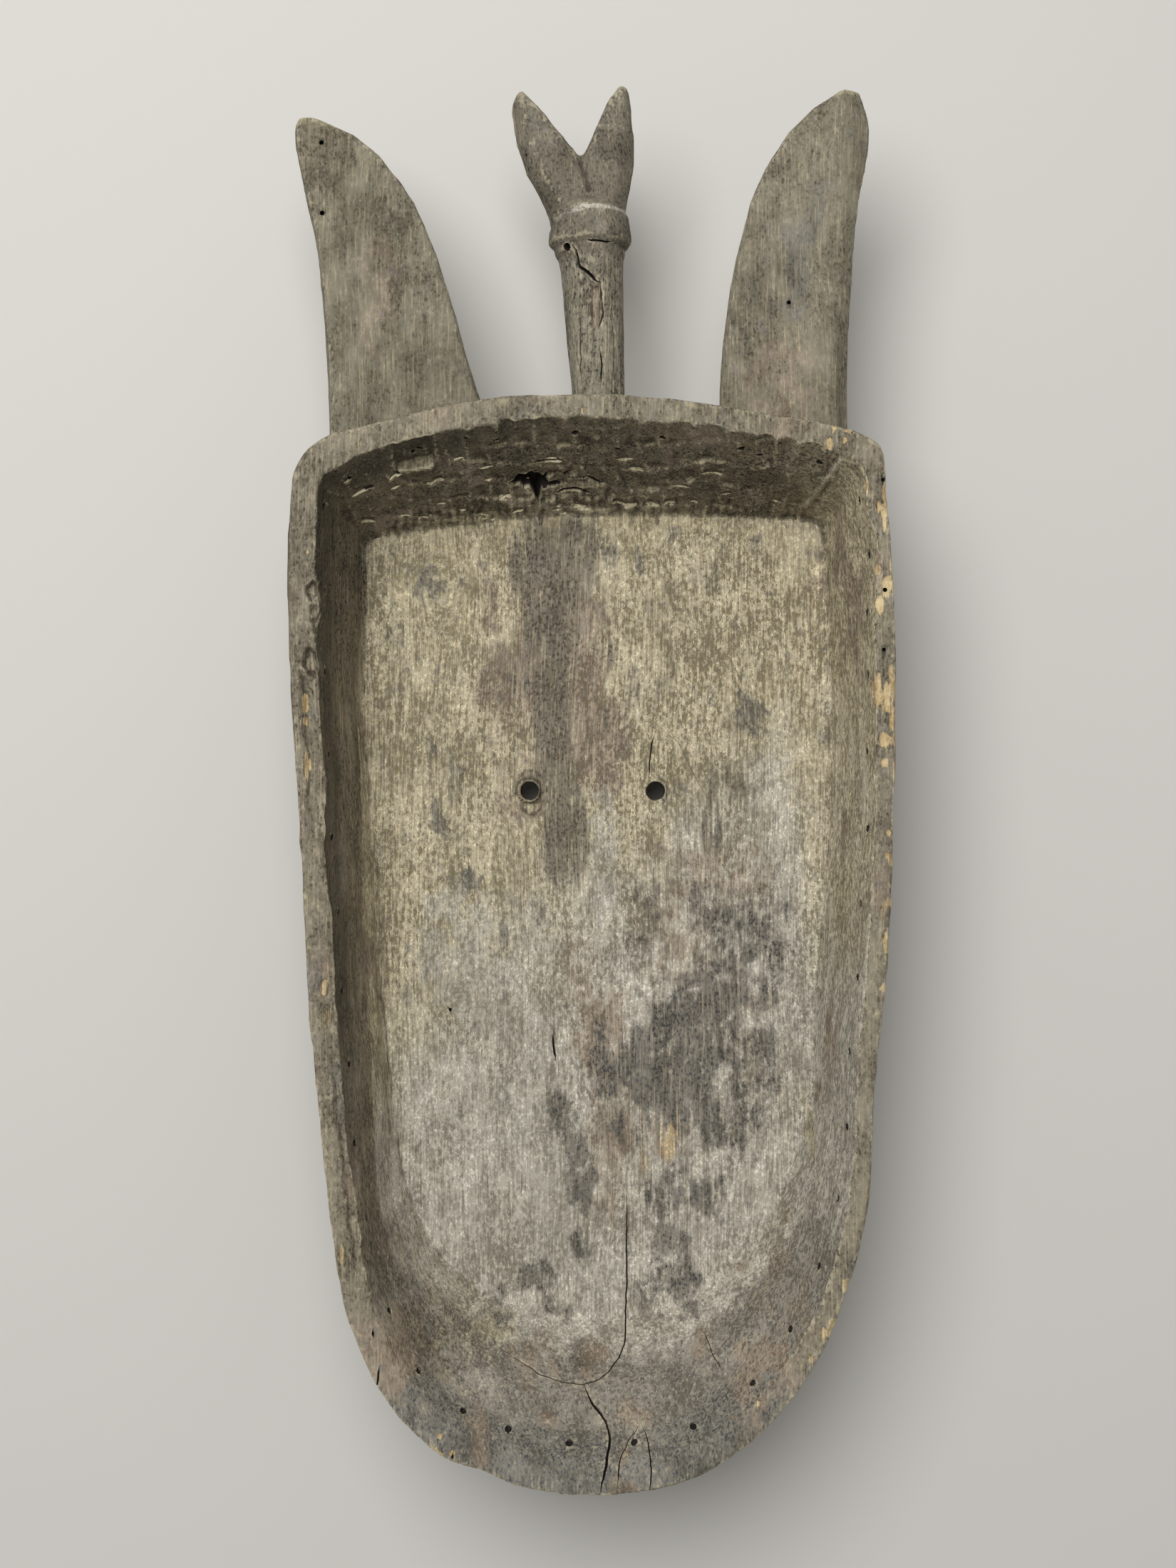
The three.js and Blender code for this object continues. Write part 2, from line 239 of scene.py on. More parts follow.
def linear(colour: str) -> tuple[float, float, float, float]:
    """Turns an sRGB hex colour to linear values.

    Args:
        colour: The colour as #rrggbb.

    Returns:
        Red, green, blue and alpha, from 0 to 1.
    """
    parts = [int(colour[place : place + 2], 16) / 255.0 for place in (1, 3, 5)]
    parts = [part / 12.92 if part <= 0.04045 else ((part + 0.055) / 1.055) ** 2.4 for part in parts]
    return parts[0], parts[1], parts[2], 1.0


@dataclass
class Rim:
    """The outer edge of the rim, read from the frame, with distances along it in millimetres.

    It starts at the middle of the crown and runs down the left side first.
    """

    spacing: float = 2.0
    start_x: float = -4.2
    nearest_corners: float = 2.5
    smoothing: int = 8
    level_within: float = 0.05
    straight_reach: float = 12.0
    batch: int = 50000

    def __post_init__(self) -> None:
        """Reads the rim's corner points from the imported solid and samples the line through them."""
        self.solid = vertex_array(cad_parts[NODE].data)
        self.height = self.solid[:, 2].max()
        top = self.solid[self.solid[:, 2] > self.height - self.level_within][:, :2]
        corners = top[convex_hull_2d([Vector(point) for point in top])]
        gaps = np.linalg.norm(corners - np.roll(corners, 1, axis=0), axis=1)
        corners = corners[gaps > self.nearest_corners]
        crown = np.argmin(np.abs(corners[:, 0] - self.start_x) + 1000.0 * (corners[:, 1] < 0.0))
        closed = np.roll(np.vstack([corners, corners]), -crown, axis=0)[: len(corners) + 1]
        distance = np.concatenate([[0.0], np.cumsum(np.linalg.norm(np.diff(closed, axis=0), axis=1))])
        self.length = distance[-1]
        self.count = int(self.length / self.spacing)
        self.stations = np.arange(self.count) * self.length / self.count
        self.points = np.column_stack([np.interp(self.stations, distance, side) for side in closed.T])
        for _ in range(self.smoothing):
            beside = np.roll(self.points, 1, 0) + np.roll(self.points, -1, 0)
            self.points = 0.5 * self.points + 0.25 * beside
        ahead = np.roll(self.points, -2, axis=0) - np.roll(self.points, 2, axis=0)
        self.tangents = ahead / np.linalg.norm(ahead, axis=1, keepdims=True)
        self.outward = np.stack([self.tangents[:, 1], -self.tangents[:, 0]], axis=1)

    def measure(self, points: np.ndarray) -> tuple[np.ndarray, np.ndarray, np.ndarray]:
        """Measures places against the rim's outer edge.

        Args:
            points: Places in millimetres.

        Returns:
            The distance along the rim, the distance inside its edge (below 0 outside it), and the edge's
            outward direction, at each place.
        """
        places = points[:, :2].astype(np.float32)
        edge = self.points.astype(np.float32)
        nearest = np.empty(len(places), int)
        for first in range(0, len(places), self.batch):
            part = slice(first, first + self.batch)
            nearest[part] = np.argmin((edge**2).sum(1) - 2.0 * places[part] @ edge.T, axis=1)
        away = points[:, :2] - self.points[nearest]
        along = self.stations[nearest] + (away * self.tangents[nearest]).sum(1)
        inset = -(away * self.outward[nearest]).sum(1)
        far = np.linalg.norm(away, axis=1) * np.sign(inset)
        inset = np.where(np.abs(inset) > self.straight_reach, far, inset)
        return along % self.length, inset, self.outward[nearest]

    def around(self, along: np.ndarray, size: float, seed: int, octaves: int = 1) -> np.ndarray:
        """Noise along the rim that closes on itself; size is one swell's length in millimetres.

        Args:
            along: Distances along the rim, in millimetres.
            size: The length of one swell.
            seed: Picks one of many patterns.
            octaves: How many finer layers are added.

        Returns:
            A value from -1 to 1 for each distance.
        """
        radius = self.length / (2.0 * math.pi)
        angle = along / radius
        ring = np.stack([radius * np.cos(angle), radius * np.sin(angle), np.zeros_like(angle)], axis=1)
        return noise(ring, (size, size, size), seed, octaves)


@dataclass(frozen=True)
class Relief:
    """Raised grain or a slow swell: its height and the size of one swell along each axis, in millimetres."""

    height: float
    size: tuple[float, float, float]
    seed: int
    octaves: int = 1


@dataclass(frozen=True)
class Marks:
    """The strokes of one tool: how deep, wide and long one stroke is in millimetres, and their pattern."""

    depth: float
    width: float
    length: float
    seed: int
    ledge: bool = False

    def depth_at(self, across: np.ndarray, down: np.ndarray) -> np.ndarray:
        """How deep the strokes are at each place, in millimetres."""
        return self.depth * tool_marks(across, down, self.width, self.length, self.seed, self.ledge)


class Skin:
    """The carving's surface as arrays in millimetres, with its measures against the rim."""

    def __init__(self, mesh: bpy.types.Mesh, rim: Rim) -> None:
        """Reads a mesh; mesh is changed only by write().

        Args:
            mesh: The mesh that is read.
            rim: The rim's outer edge.
        """
        self.mesh = mesh
        self.rim = rim
        self.points = vertex_array(mesh)
        self.read_normals()
        self.along, self.inset, self.outward = rim.measure(self.points)
        facing_out = (self.normals[:, :2] * self.outward).sum(1)
        z, up = self.points[:, 2], self.normals[:, 2]
        inside = smoothstep(self.inset, 4.0, 9.0)
        above_ground = smoothstep(z, 40.0, 46.0)
        self.rim_top = smoothstep(up, 0.5, 0.85) * smoothstep(z, 121.0, 126.0)
        self.rim_top *= smoothstep(self.inset, 44.0, 34.0)
        self.floor = inside * smoothstep(up, 0.86, 0.96) * smoothstep(z, 80.0, 68.0) * above_ground
        looks_in = np.maximum(smoothstep(facing_out, 0.25, -0.15), smoothstep(up, 0.5, 0.8))
        self.hollow = inside * looks_in * smoothstep(up, -0.02, 0.1) * above_ground * (1 - self.rim_top)
        self.wall = np.clip(self.hollow - self.floor, 0.0, 1.0)
        self.limb = smoothstep(self.inset, -1.0, -5.0)
        self.free = smoothstep(z, 1.0, 8.0)

    def read_normals(self) -> None:
        """Takes the vertex normals from the mesh."""
        flat = np.empty(len(self.mesh.vertices) * 3, np.float32)
        self.mesh.vertex_normals.foreach_get("vector", flat)
        self.normals = flat.reshape(-1, 3).astype(np.float64)

    def push(self, depth: np.ndarray) -> None:
        """Cuts into the surface by a depth in millimetres at each point; below 0 it raises the surface."""
        self.points -= self.normals * (depth * self.free)[:, None]

    def roughen(self, relief: Relief, *shares: np.ndarray) -> None:
        """Raises a relief as far as every share, from 0 to 1 at each point, lets it.

        Args:
            relief: The height and the pattern of the relief.
            shares: How much of it each point gets, each from 0 to 1.
        """
        height = relief.height * noise(self.points, relief.size, relief.seed, relief.octaves)
        for share in shares:
            height = height * share
        self.push(-height)

    def gouge(self, marks: Marks, across: np.ndarray, down: np.ndarray, *shares: np.ndarray) -> None:
        """Cuts rows of strokes as far as every share, from 0 to 1 at each point, lets it.

        Args:
            marks: The tool's strokes.
            across: Distance across the strokes, in millimetres.
            down: Distance along the strokes, in millimetres.
            shares: How much of it each point gets, each from 0 to 1.
        """
        depth = marks.depth_at(across, down)
        for share in shares:
            depth = depth * share
        self.push(depth)

    def lower(self, amount: np.ndarray) -> None:
        """Lowers each point by an amount in millimetres."""
        self.points[:, 2] -= amount

    def shift(self, direction: np.ndarray, amount: np.ndarray) -> None:
        """Moves each point along a direction of its own by an amount in millimetres."""
        self.points[:, : direction.shape[1]] += direction * amount[:, None]

    def write(self) -> None:
        """Puts the points back into the mesh, none below the ground, and reads its new normals."""
        self.points[:, 2] = np.maximum(self.points[:, 2], 0.0)
        self.mesh.vertices.foreach_set("co", (self.points * MM).astype(np.float32).ravel())
        self.mesh.update()
        self.read_normals()


@dataclass
class Blank:
    """The roughed-out block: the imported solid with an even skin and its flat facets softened."""

    voxel: float = 1.35
    softening: int = 26
    merging: float = 0.001
    outside_weight: float = 0.6

    def build(self, rim: Rim) -> bpy.types.Object:
        """Copies the solid, merges its corners and gives it an even skin.

        Args:
            rim: The rim's outer edge.

        Returns:
            The new piece, with its mesh in place.
        """
        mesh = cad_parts[NODE].data.copy()
        mesh.materials.clear()
        form = bmesh.new()
        form.from_mesh(mesh)
        bmesh.ops.remove_doubles(form, verts=form.verts, dist=self.merging * MM)
        form.to_mesh(mesh)
        form.free()
        piece = put_in_scene("carved_mask", mesh)
        apply_modifier(piece, "REMESH", mode="VOXEL", voxel_size=self.voxel * MM, use_smooth_shade=True)
        self.soften(piece, rim)
        return piece

    def soften(self, piece: bpy.types.Object, rim: Rim) -> None:
        """Rounds the solid's facets, least at the rim, whose edges stay firm.

        Args:
            piece: The piece that is softened.
            rim: The rim's outer edge.
        """
        points = vertex_array(piece.data)
        inset = rim.measure(points)[1]
        chin = smoothstep(points[:, 1], -225.0, -290.0) * smoothstep(inset, 6.0, 11.0)
        below_rim = smoothstep(rim.height - points[:, 2], 3.0, 14.0)
        weights = np.maximum(0.1 + 0.9 * below_rim, chin)
        weights = np.where(inset < -2.0, self.outside_weight, weights)
        give_group(piece, "soften", weights)
        apply_modifier(piece, "SMOOTH", factor=0.5, iterations=self.softening, vertex_group="soften")
        piece.vertex_groups.clear()


@dataclass
class FrontAndSides:
    """The domed forehead, the flat face, the nose and the outer walls, all dressed with a broad adze."""

    swell: Relief = Relief(0.6, (52.0, 75.0, 52.0), 3)
    marks: Marks = Marks(0.75, 17.0, 31.0, 11)
    grain: Relief = Relief(0.16, (3.2, 46.0, 3.2), 12)

    def carve(self, skin: Skin) -> None:
        """Cuts the adze marks and the slow swell of hand carving.

        Args:
            skin: The carving's surface.
        """
        x, y, z = skin.points.T
        skin.roughen(self.swell)
        outer = (1.0 - skin.hollow) * (1.0 - skin.rim_top) * (1.0 - skin.limb)
        skin.gouge(self.marks, np.hypot(x, 0.55 * z) * np.sign(x) + 0.35 * z, y, outer)
        skin.roughen(self.grain, outer)


@dataclass
class HollowFloor:
    """The floor of the hollow, pared along the grain with a wide gouge."""

    marks: Marks = Marks(0.5, 15.0, 78.0, 21)
    grain: Relief = Relief(0.17, (2.9, 52.0, 4.0), 22, 2)
    pits: Relief = Relief(0.28, (3.6, 6.5, 3.6), 23, 2)

    def carve(self, skin: Skin) -> None:
        """Cuts the long gouge marks, the raised grain and the weathered, roughened patches.

        Args:
            skin: The carving's surface.
        """
        skin.gouge(self.marks, skin.points[:, 0], skin.points[:, 1], skin.floor)
        skin.roughen(self.grain, skin.floor)
        skin.roughen(self.pits, skin.floor, self.weathering(skin))

    @staticmethod
    def weathering(skin: Skin) -> np.ndarray:
        """How far the floor is eaten away by weather, from 0 to 1.

        Args:
            skin: The carving's surface.

        Returns:
            The share at each point.
        """
        x, y = skin.points.T[:2]
        lower_left = np.exp(-(((x + 42.0) / 46.0) ** 2) - (((y + 228.0) / 74.0) ** 2))
        by_left_side = np.exp(-(((x + 76.0) / 30.0) ** 2) - (((y + 105.0) / 55.0) ** 2))
        patchy = 0.5 + 0.5 * noise(skin.points, (26.0, 40.0, 26.0), 24, 2)
        return np.clip(lower_left + 0.7 * by_left_side, 0.0, 1.0) * smoothstep(patchy, 0.25, 0.65)


@dataclass
class SideWalls:
    """The steep side walls of the hollow and the sloping wall at the chin."""

    marks: Marks = Marks(0.7, 14.0, 70.0, 31)
    chin_marks: Marks = Marks(1.1, 19.0, 24.0, 32)
    chin_lumps: Relief = Relief(0.9, (15.0, 19.0, 15.0), 35, 2)
    grain: Relief = Relief(0.2, (2.8, 38.0, 2.8), 33, 2)
    left_swell: Relief = Relief(1.0, (30.0, 42.0, 24.0), 34)

    def carve(self, skin: Skin) -> None:
        """Cuts long marks down the sides and shorter ones around the chin.

        Args:
            skin: The carving's surface.
        """
        x, y, z = skin.points.T
        side = skin.wall * smoothstep(y, 140.0, 120.0)
        chin = smoothstep(y, -190.0, -250.0)
        skin.gouge(self.marks, z, y, side, 1.0 - chin)
        skin.gouge(self.chin_marks, skin.along, z, side, chin)
        skin.roughen(self.chin_lumps, side, chin)
        skin.roughen(self.grain, side)
        skin.roughen(self.left_swell, side * smoothstep(x, 0.0, -60.0))


@dataclass
class UpperWall:
    """The wall under the crown, left in rows of short adze cuts, with a niche and a knot's hollow."""

    top: float = 190.0
    cuts: Marks = Marks(1.0, 11.5, 8.6, 41, ledge=True)
    light_cut: float = 1.1
    deep_cut: float = 2.7
    facets: Marks = Marks(1.5, 10.5, 13.0, 42)
    rib_spacing: float = 4.6
    rib_height: float = 0.35
    roughness: Relief = Relief(0.3, (5.0, 5.0, 5.0), 43, 2)
    torn_fibres: Relief = Relief(0.8, (3.0, 15.0, 6.0), 49, 2)
    niche_left: float = -101.0
    niche_right: float = -80.4
    niche_sill: float = 107.0
    niche_back: float = 12.5
    niche_slope: float = 0.34
    knot: tuple[float, float] = (-24.0, 157.0)
    knot_half: tuple[float, float] = (17.0, 8.0)
    knot_depth: float = 2.2
    ridge_ends: tuple[float, float, float, float] = (128.3, 163.2, 116.5, 147.8)
    ridge_height: float = 1.3

    def carve(self, skin: Skin) -> None:
        """Cuts the rows of ledges, the niche, the hollow round the knot and the ridges beside it.

        Args:
            skin: The carving's surface.
        """
        x, y, z = skin.points.T
        wall = skin.wall * smoothstep(y, 126.0, 140.0)
        corner = smoothstep(np.abs(x - 2.0), 128.0, 106.0)
        cuts = self.cuts.depth_at(x, self.top - y)
        deep = smoothstep(noise(skin.points, (12.0, 7.0, 12.0), 47), -0.1, 0.3) * smoothstep(z, 122.0, 108.0)
        into_wall = np.array([[0.0, 1.0, -0.15]]).repeat(len(x), axis=0)
        depth = self.light_cut + (self.deep_cut - self.light_cut) * deep
        skin.shift(into_wall, wall * corner * depth * cuts)
        skin.gouge(self.facets, x + 0.3 * y, self.top - y, wall, smoothstep(z, 126.0, 112.0))
        ribs = np.sin(2.0 * math.pi * (x + 1.6 * noise(skin.points, (9.0, 9.0, 9.0), 48)) / self.rib_spacing)
        skin.push(self.rib_height * ribs * wall * corner * bell(z - 58.0, 16.0))
        skin.roughen(self.roughness, wall)
        torn = bell(self.below_crease(skin) - 1.0, 6.5) * skin.hollow * smoothstep(np.abs(x), 118.0, 104.0)
        skin.roughen(self.torn_fibres, torn)
        self.cut_niche(skin, wall)
        self.swirl_by_knot(skin, wall)
        skin.push(-self.ridge_height * bell(distance_to_line(skin.points, *self.ridge_ends), 2.6) * wall)

    @staticmethod
    def below_crease(skin: Skin) -> np.ndarray:
        """How far each point lies below the crease at the foot of this wall, seen from above."""
        return 143.5 - 0.0008 * skin.points[:, 0] ** 2 - skin.points[:, 1]

    def cut_niche(self, skin: Skin, wall: np.ndarray) -> None:
        """Sinks the square niche at the left: a flat sill that leads in to a steep back.

        Args:
            skin: The carving's surface.
            wall: How far each point belongs to this wall, from 0 to 1.
        """
        x, z = skin.points[:, 0], skin.points[:, 2]
        middle, half = 0.5 * (self.niche_left + self.niche_right), 0.5 * (self.niche_right - self.niche_left)
        ragged = 0.1 * noise(skin.points, (9.0, 7.0, 9.0), 44)
        inside = smoothstep(np.abs(x - middle) / half + ragged, 1.08, 0.9) * wall
        back = self.niche_back + self.niche_slope * (skin.rim.height - z)
        reach = inside * smoothstep(z, self.niche_sill - 7.0, self.niche_sill)
        reach *= np.maximum(skin.inset - back, 0.0)
        on_sill = inside * smoothstep(z, self.niche_sill - 7.5, self.niche_sill - 5.5)
        on_sill *= smoothstep(z, self.niche_sill + 2.0, self.niche_sill)
        skin.shift(skin.outward, reach)
        skin.points[:, 2] += on_sill * (self.niche_sill - 0.35 * reach - z)

    def swirl_by_knot(self, skin: Skin, wall: np.ndarray) -> None:
        """Sinks the wood around the knot and raises the swirling ridges to its right.

        Args:
            skin: The carving's surface.
            wall: How far each point belongs to this wall, from 0 to 1.
        """
        x, y = skin.points.T[:2]
        away = np.hypot((x - self.knot[0]) / self.knot_half[0], (y - self.knot[1]) / self.knot_half[1])
        ragged = 0.4 * noise(skin.points, (6.0, 4.0, 6.0), 45, 2)
        skin.push(self.knot_depth * smoothstep(away + ragged, 1.1, 0.4) * wall)
        swirl = np.hypot((x - self.knot[0] - 24.0) / 1.6, y - self.knot[1] + 2.0)
        ridges = 0.5 + 0.5 * np.sin(swirl * 1.15 + 2.4 * noise(skin.points, (12.0, 12.0, 12.0), 46))
        skin.push(1.2 * ridges * wall * smoothstep(swirl, 22.0, 8.0))


@dataclass(frozen=True)
class Chip:
    """A chip broken out of the rim's outer edge, at a place given in millimetres."""

    x: float
    y: float
    length: float
    depth: float


CHIPS = tuple(Chip(*row) for row in (
    (149.4, 143, 22, 3.4), (147.2, 109.1, 10, 2.2), (150.9, 99.3, 13, 3), (148.7, 87, 9, 2.2),
    (148.7, 42, 24, 3.6), (148.7, 19.2, 12, 2.4), (152.3, -27.1, 8, 2), (150.5, -41, 12, 2.6),
    (150.5, -64, 7, 1.8), (150.5, -85, 13, 3), (150.5, -105.8, 8, 2.2), (128.7, -258.1, 12, 2.6),
    (119.5, -279, 15, 2.8), (93, -309.4, 11, 2.2), (122.1, 176, 9, 2), (131, 176, 7, 2),
    (-108, -318, 12, 2), (-141, -185, 9, 1.8), (-148, -60, 10, 1.6), (-152, 60, 9, 1.6),
    (-84, -352, 14, 2.4),
))


@dataclass(frozen=True)
class Scar:
    """A splinter gone from the top of the rim: its middle, half sizes and depth in millimetres."""

    x: float
    y: float
    half_width: float
    half_length: float
    depth: float = 1.2
    fresh: float = 1.0


SCARS = tuple(Scar(*row) for row in (
    (-143.4, 59.3, 3.4, 7.6, 4.5, 0), (-142.2, 95, 2.6, 5, 3.5, 0), (-141.2, 84, 2, 6.5, 2.6, 0),
    (-145.9, 39.1, 1.5, 6.5), (-145.7, 29.5, 1.3, 3.4), (-144.9, 7, 1.2, 7, 0.9),
    (-144.7, 115.5, 1, 1.2, 0.6), (-136.4, -107, 2.2, 5, 1.5, 0.6), (-134.8, -122, 2.4, 6, 1.6, 0.4),
    (-127.2, -243, 1.2, 5, 1), (121.9, 171.1, 1.7, 3.2), (129.5, 172.9, 1.4, 2.2),
    (124, 178, 1, 1.6, 0.8, 0.7), (141.2, 149, 1.1, 4, 0.9, 0.7), (146.6, 139, 1.2, 4.5, 1, 0.8),
    (149.6, 133, 1.3, 7, 1.2, 0.9), (150.8, 98.5, 2.3, 6.6, 1.6), (147.8, 88.5, 2.6, 5.2, 1.8),
    (147, 106.5, 1.6, 3.6, 1.4, 0.8), (147, 45.7, 2.4, 9.5, 1.9), (151, 41.5, 1.9, 8.5, 1.5, 0.9),
    (153.4, 53, 1.4, 5.5, 1.4, 0.8), (150, 19.8, 2.6, 4.6, 1.5), (154, 30.4, 1.6, 5.5, 1.4),
    (150, 8.2, 1.6, 2.8, 1.2), (152, -27.8, 1.7, 2.8, 1.4, 0.9), (151.2, -39.5, 1.1, 1.5, 0.8),
    (150.4, -81.5, 1.6, 5.5, 1.5, 0.7), (149.6, -106.3, 1.7, 2.7, 1.2), (-4, 188, 1.6, 2.2, 0.8, 0.6),
    (52, 184, 1.2, 1.8, 0.8, 0.6), (-118, 171.5, 1.1, 1.6, 0.8, 0.6), (-77, -336, 2, 1.6, 1, 0.8),
    (-70.6, -344.5, 2.4, 1.4, 1, 0.7), (118.4, -283.5, 1.4, 4.5, 1.3, 0.8),
    (112.4, -296, 1.2, 3.6, 1, 0.7), (85.6, -320.2, 1.1, 1.1, 0.8),
))


@dataclass
class RimBand:
    """The flat rim around the hollow: its waving edges, its chips and the bevel at the chin."""

    wave: float = 1.3
    slope: float = 0.85
    worn: float = 1.3
    foot: tuple[float, float] = (112.0, 118.0)
    chin_drop: float = 5.5
    chin_facets: Marks = Marks(0.7, 21.0, 13.0, 56)

    def carve(self, skin: Skin) -> None:
        """Waves the rim's edges, bevels it at the chin and breaks its chips out.

        Args:
            skin: The carving's surface.
        """
        self.wave_edges(skin)
        self.bevel_chin(skin)
        skin.along, skin.inset, skin.outward = skin.rim.measure(skin.points)
        self.step_left(skin)
        skin.lower(self.scar(skin)[0])
        self.round_edges(skin)
        self.break_chips(skin)

    def wave_edges(self, skin: Skin) -> None:
        """Moves the outer and the inner edge in and out, as a knife leaves them.

        Args:
            skin: The carving's surface.
        """
        rim = skin.rim
        x, y, z = skin.points.T
        near = smoothstep(z, 84.0, 116.0) * smoothstep(skin.inset, 34.0, 16.0)
        near *= smoothstep(skin.inset, -4.0, -1.0)
        outer = 0.55 * rim.around(skin.along, 46.0, 51, 2) + 0.3 * rim.around(skin.along, 9.0, 52)
        inner = self.wave * rim.around(skin.along, 30.0, 53, 2) + 0.5 * rim.around(skin.along, 8.0, 54)
        inner += smoothstep(y, 150.0, 172.0) * smoothstep(x, -106.0, -92.0) * (2.1 * self.scallops(x) - 0.8)
        inner += 3.2 * bell(y - 116.0, 32.0) * (x > 100.0)
        share = smoothstep(skin.inset, 2.0, 10.0)
        skin.shift(skin.outward, near * (outer * (1.0 - share) + inner * share))
        skin.points[:, 2] += skin.rim_top * 0.45 * rim.around(skin.along, 34.0, 55, 2)

    @staticmethod
    def scallops(x: np.ndarray) -> np.ndarray:
        """How far each pass of the adze cuts back the crown's inner edge, side by side and uneven.

        Args:
            x: Places across the mask, in millimetres.

        Returns:
            The share of a full cut, from 0 to 1.
        """
        drift = noise(np.column_stack([x, np.zeros_like(x), np.zeros_like(x)]), (27.0, 1.0, 1.0), 59)
        place = x / 13.5 + 0.5 * drift
        cell = np.floor(place)
        own = cell_value(np.stack([cell, cell, cell], axis=1), 60)
        return (0.3 + 0.7 * own) * (1.0 - (2.0 * (place - cell) - 1.0) ** 2)

    @staticmethod
    def step_left(skin: Skin) -> None:
        """Lowers the inner half of the left rim, where long splinters have come away.

        Args:
            skin: The carving's surface.
        """
        x, y, z = skin.points.T
        span = smoothstep(x, -100.0, -120.0) * smoothstep(y, 56.0, 51.0) * smoothstep(y, -262.0, -235.0)
        edge = 5.6 + 3.4 * smoothstep(y, -100.0, -165.0) + 1.8 * skin.rim.around(skin.along, 9.0, 63, 2)
        sharp = smoothstep(skin.inset, edge, edge + 1.4)
        upper = smoothstep(y, -50.0, 0.0)
        lower = smoothstep(y, -140.0, -165.0)
        slope = (1.0 - 0.4 * upper) * (1.0 - lower) * 0.3 * np.maximum(skin.inset - 4.5, 0.0)
        drop = span * (2.8 * sharp * np.maximum(upper, lower) + slope)
        over = np.maximum(z - (skin.rim.height - drop), 0.0) * (skin.inset > 3.0)
        over *= smoothstep(skin.inset, 40.0, 30.0)
        skin.lower(over * (drop > 0.05))

    @staticmethod
    def scar(skin: Skin) -> tuple[np.ndarray, np.ndarray]:
        """Finds the scars on the rim.

        Args:
            skin: The carving's surface.

        Returns:
            How deep a scar is at each point, in millimetres, and how fresh the wood in it is, from 0 to 1.
        """
        x, y, z = skin.points.T
        ragged = 0.35 * noise(skin.points, (2.6, 4.0, 2.6), 64, 2)
        depth = np.zeros(len(x))
        fresh = np.zeros(len(x))
        for scar in SCARS:
            away = np.hypot((x - scar.x) / scar.half_width, (y - scar.y) / scar.half_length) + ragged
            shape = smoothstep(away, 1.2, 0.7) * smoothstep(z, 114.0, 119.0)
            depth = np.maximum(depth, scar.depth * shape)
            fresh = np.maximum(fresh, scar.fresh * shape)
        return depth, fresh

    def bevel_chin(self, skin: Skin) -> None:
        """Cuts the chin's rim down to a wide bevel that runs into the wall.

        Args:
            skin: The carving's surface.
        """
        y, z = skin.points.T[1:]
        chin = smoothstep(y, -262.0, -318.0) * smoothstep(z, 92.0, 104.0)
        chin *= np.clip(skin.hollow + skin.rim_top, 0.0, 1.0)
        drop = self.chin_drop * smoothstep(skin.inset, 3.0, 20.0) * smoothstep(skin.inset, 46.0, 26.0)
        skin.lower(chin * drop)
        facets = self.chin_facets.depth_at(skin.along, skin.inset)
        skin.lower(facets * smoothstep(y, -230.0, -290.0) * skin.rim_top)

    def bite(self, skin: Skin) -> np.ndarray:
        """How deep the outer edge is broken away at each point, in millimetres.

        Args:
            skin: The carving's surface.

        Returns:
            The depth at each point.
        """
        rim = skin.rim
        ragged = rim.around(skin.along, 3.4, 57, 2)
        depth = np.zeros(len(skin.points))
        for chip in CHIPS:
            along = rim.measure(np.array([[chip.x, chip.y, rim.height]]))[0]
            away = (skin.along - along + rim.length / 2.0) % rim.length - rim.length / 2.0
            shape = 1.0 - np.clip(np.abs(away) / (0.5 * chip.length), 0.0, 1.0) ** 2.6
            depth = np.maximum(depth, chip.depth * shape * (0.8 + 0.45 * ragged))
        right = smoothstep(skin.points[:, 0], 60.0, 130.0) * smoothstep(skin.points[:, 1], -130.0, -80.0)
        small = smoothstep(rim.around(skin.along, 7.0, 58, 2), 0.22, 0.5)
        return np.maximum(depth, small * (0.5 + 1.0 * right) * (1.0 + 0.4 * ragged))

    def overhang(self, skin: Skin, depth: np.ndarray) -> np.ndarray:
        """How far each point stands outside the broken face; below 0 it lies under it."""
        return depth - (skin.inset + (skin.rim.height - skin.points[:, 2]) * self.slope)

    def round_edges(self, skin: Skin) -> None:
        """Wears the outer edge of the rim round.

        Args:
            skin: The carving's surface.
        """
        over = np.maximum(self.overhang(skin, np.full(len(skin.points), self.worn)), 0.0)
        over *= smoothstep(skin.points[:, 2], *self.foot) * (skin.inset > -3.0)
        skin.shift(-skin.outward, 0.5 * over)
        skin.lower(0.5 * over)

    def break_chips(self, skin: Skin) -> None:
        """Cuts each chip back to a slanting broken face.

        Args:
            skin: The carving's surface.
        """
        over = np.maximum(self.overhang(skin, self.bite(skin)), 0.0)
        over *= smoothstep(skin.points[:, 2], *self.foot) * (skin.inset > -3.0)
        scale = over / (1.0 + self.slope**2)
        skin.shift(-skin.outward, scale)
        skin.lower(self.slope * scale)

    def freshness(self, skin: Skin) -> np.ndarray:
        """Where the broken faces of the chips show, from 0 to 1.

        Args:
            skin: The carving's surface.

        Returns:
            The share at each point.
        """
        depth = self.bite(skin)
        face = smoothstep(np.abs(self.overhang(skin, depth)), 1.3, 0.3)
        return face * smoothstep(depth, 0.9, 1.8) * smoothstep(skin.points[:, 2], 116.0, 122.0)


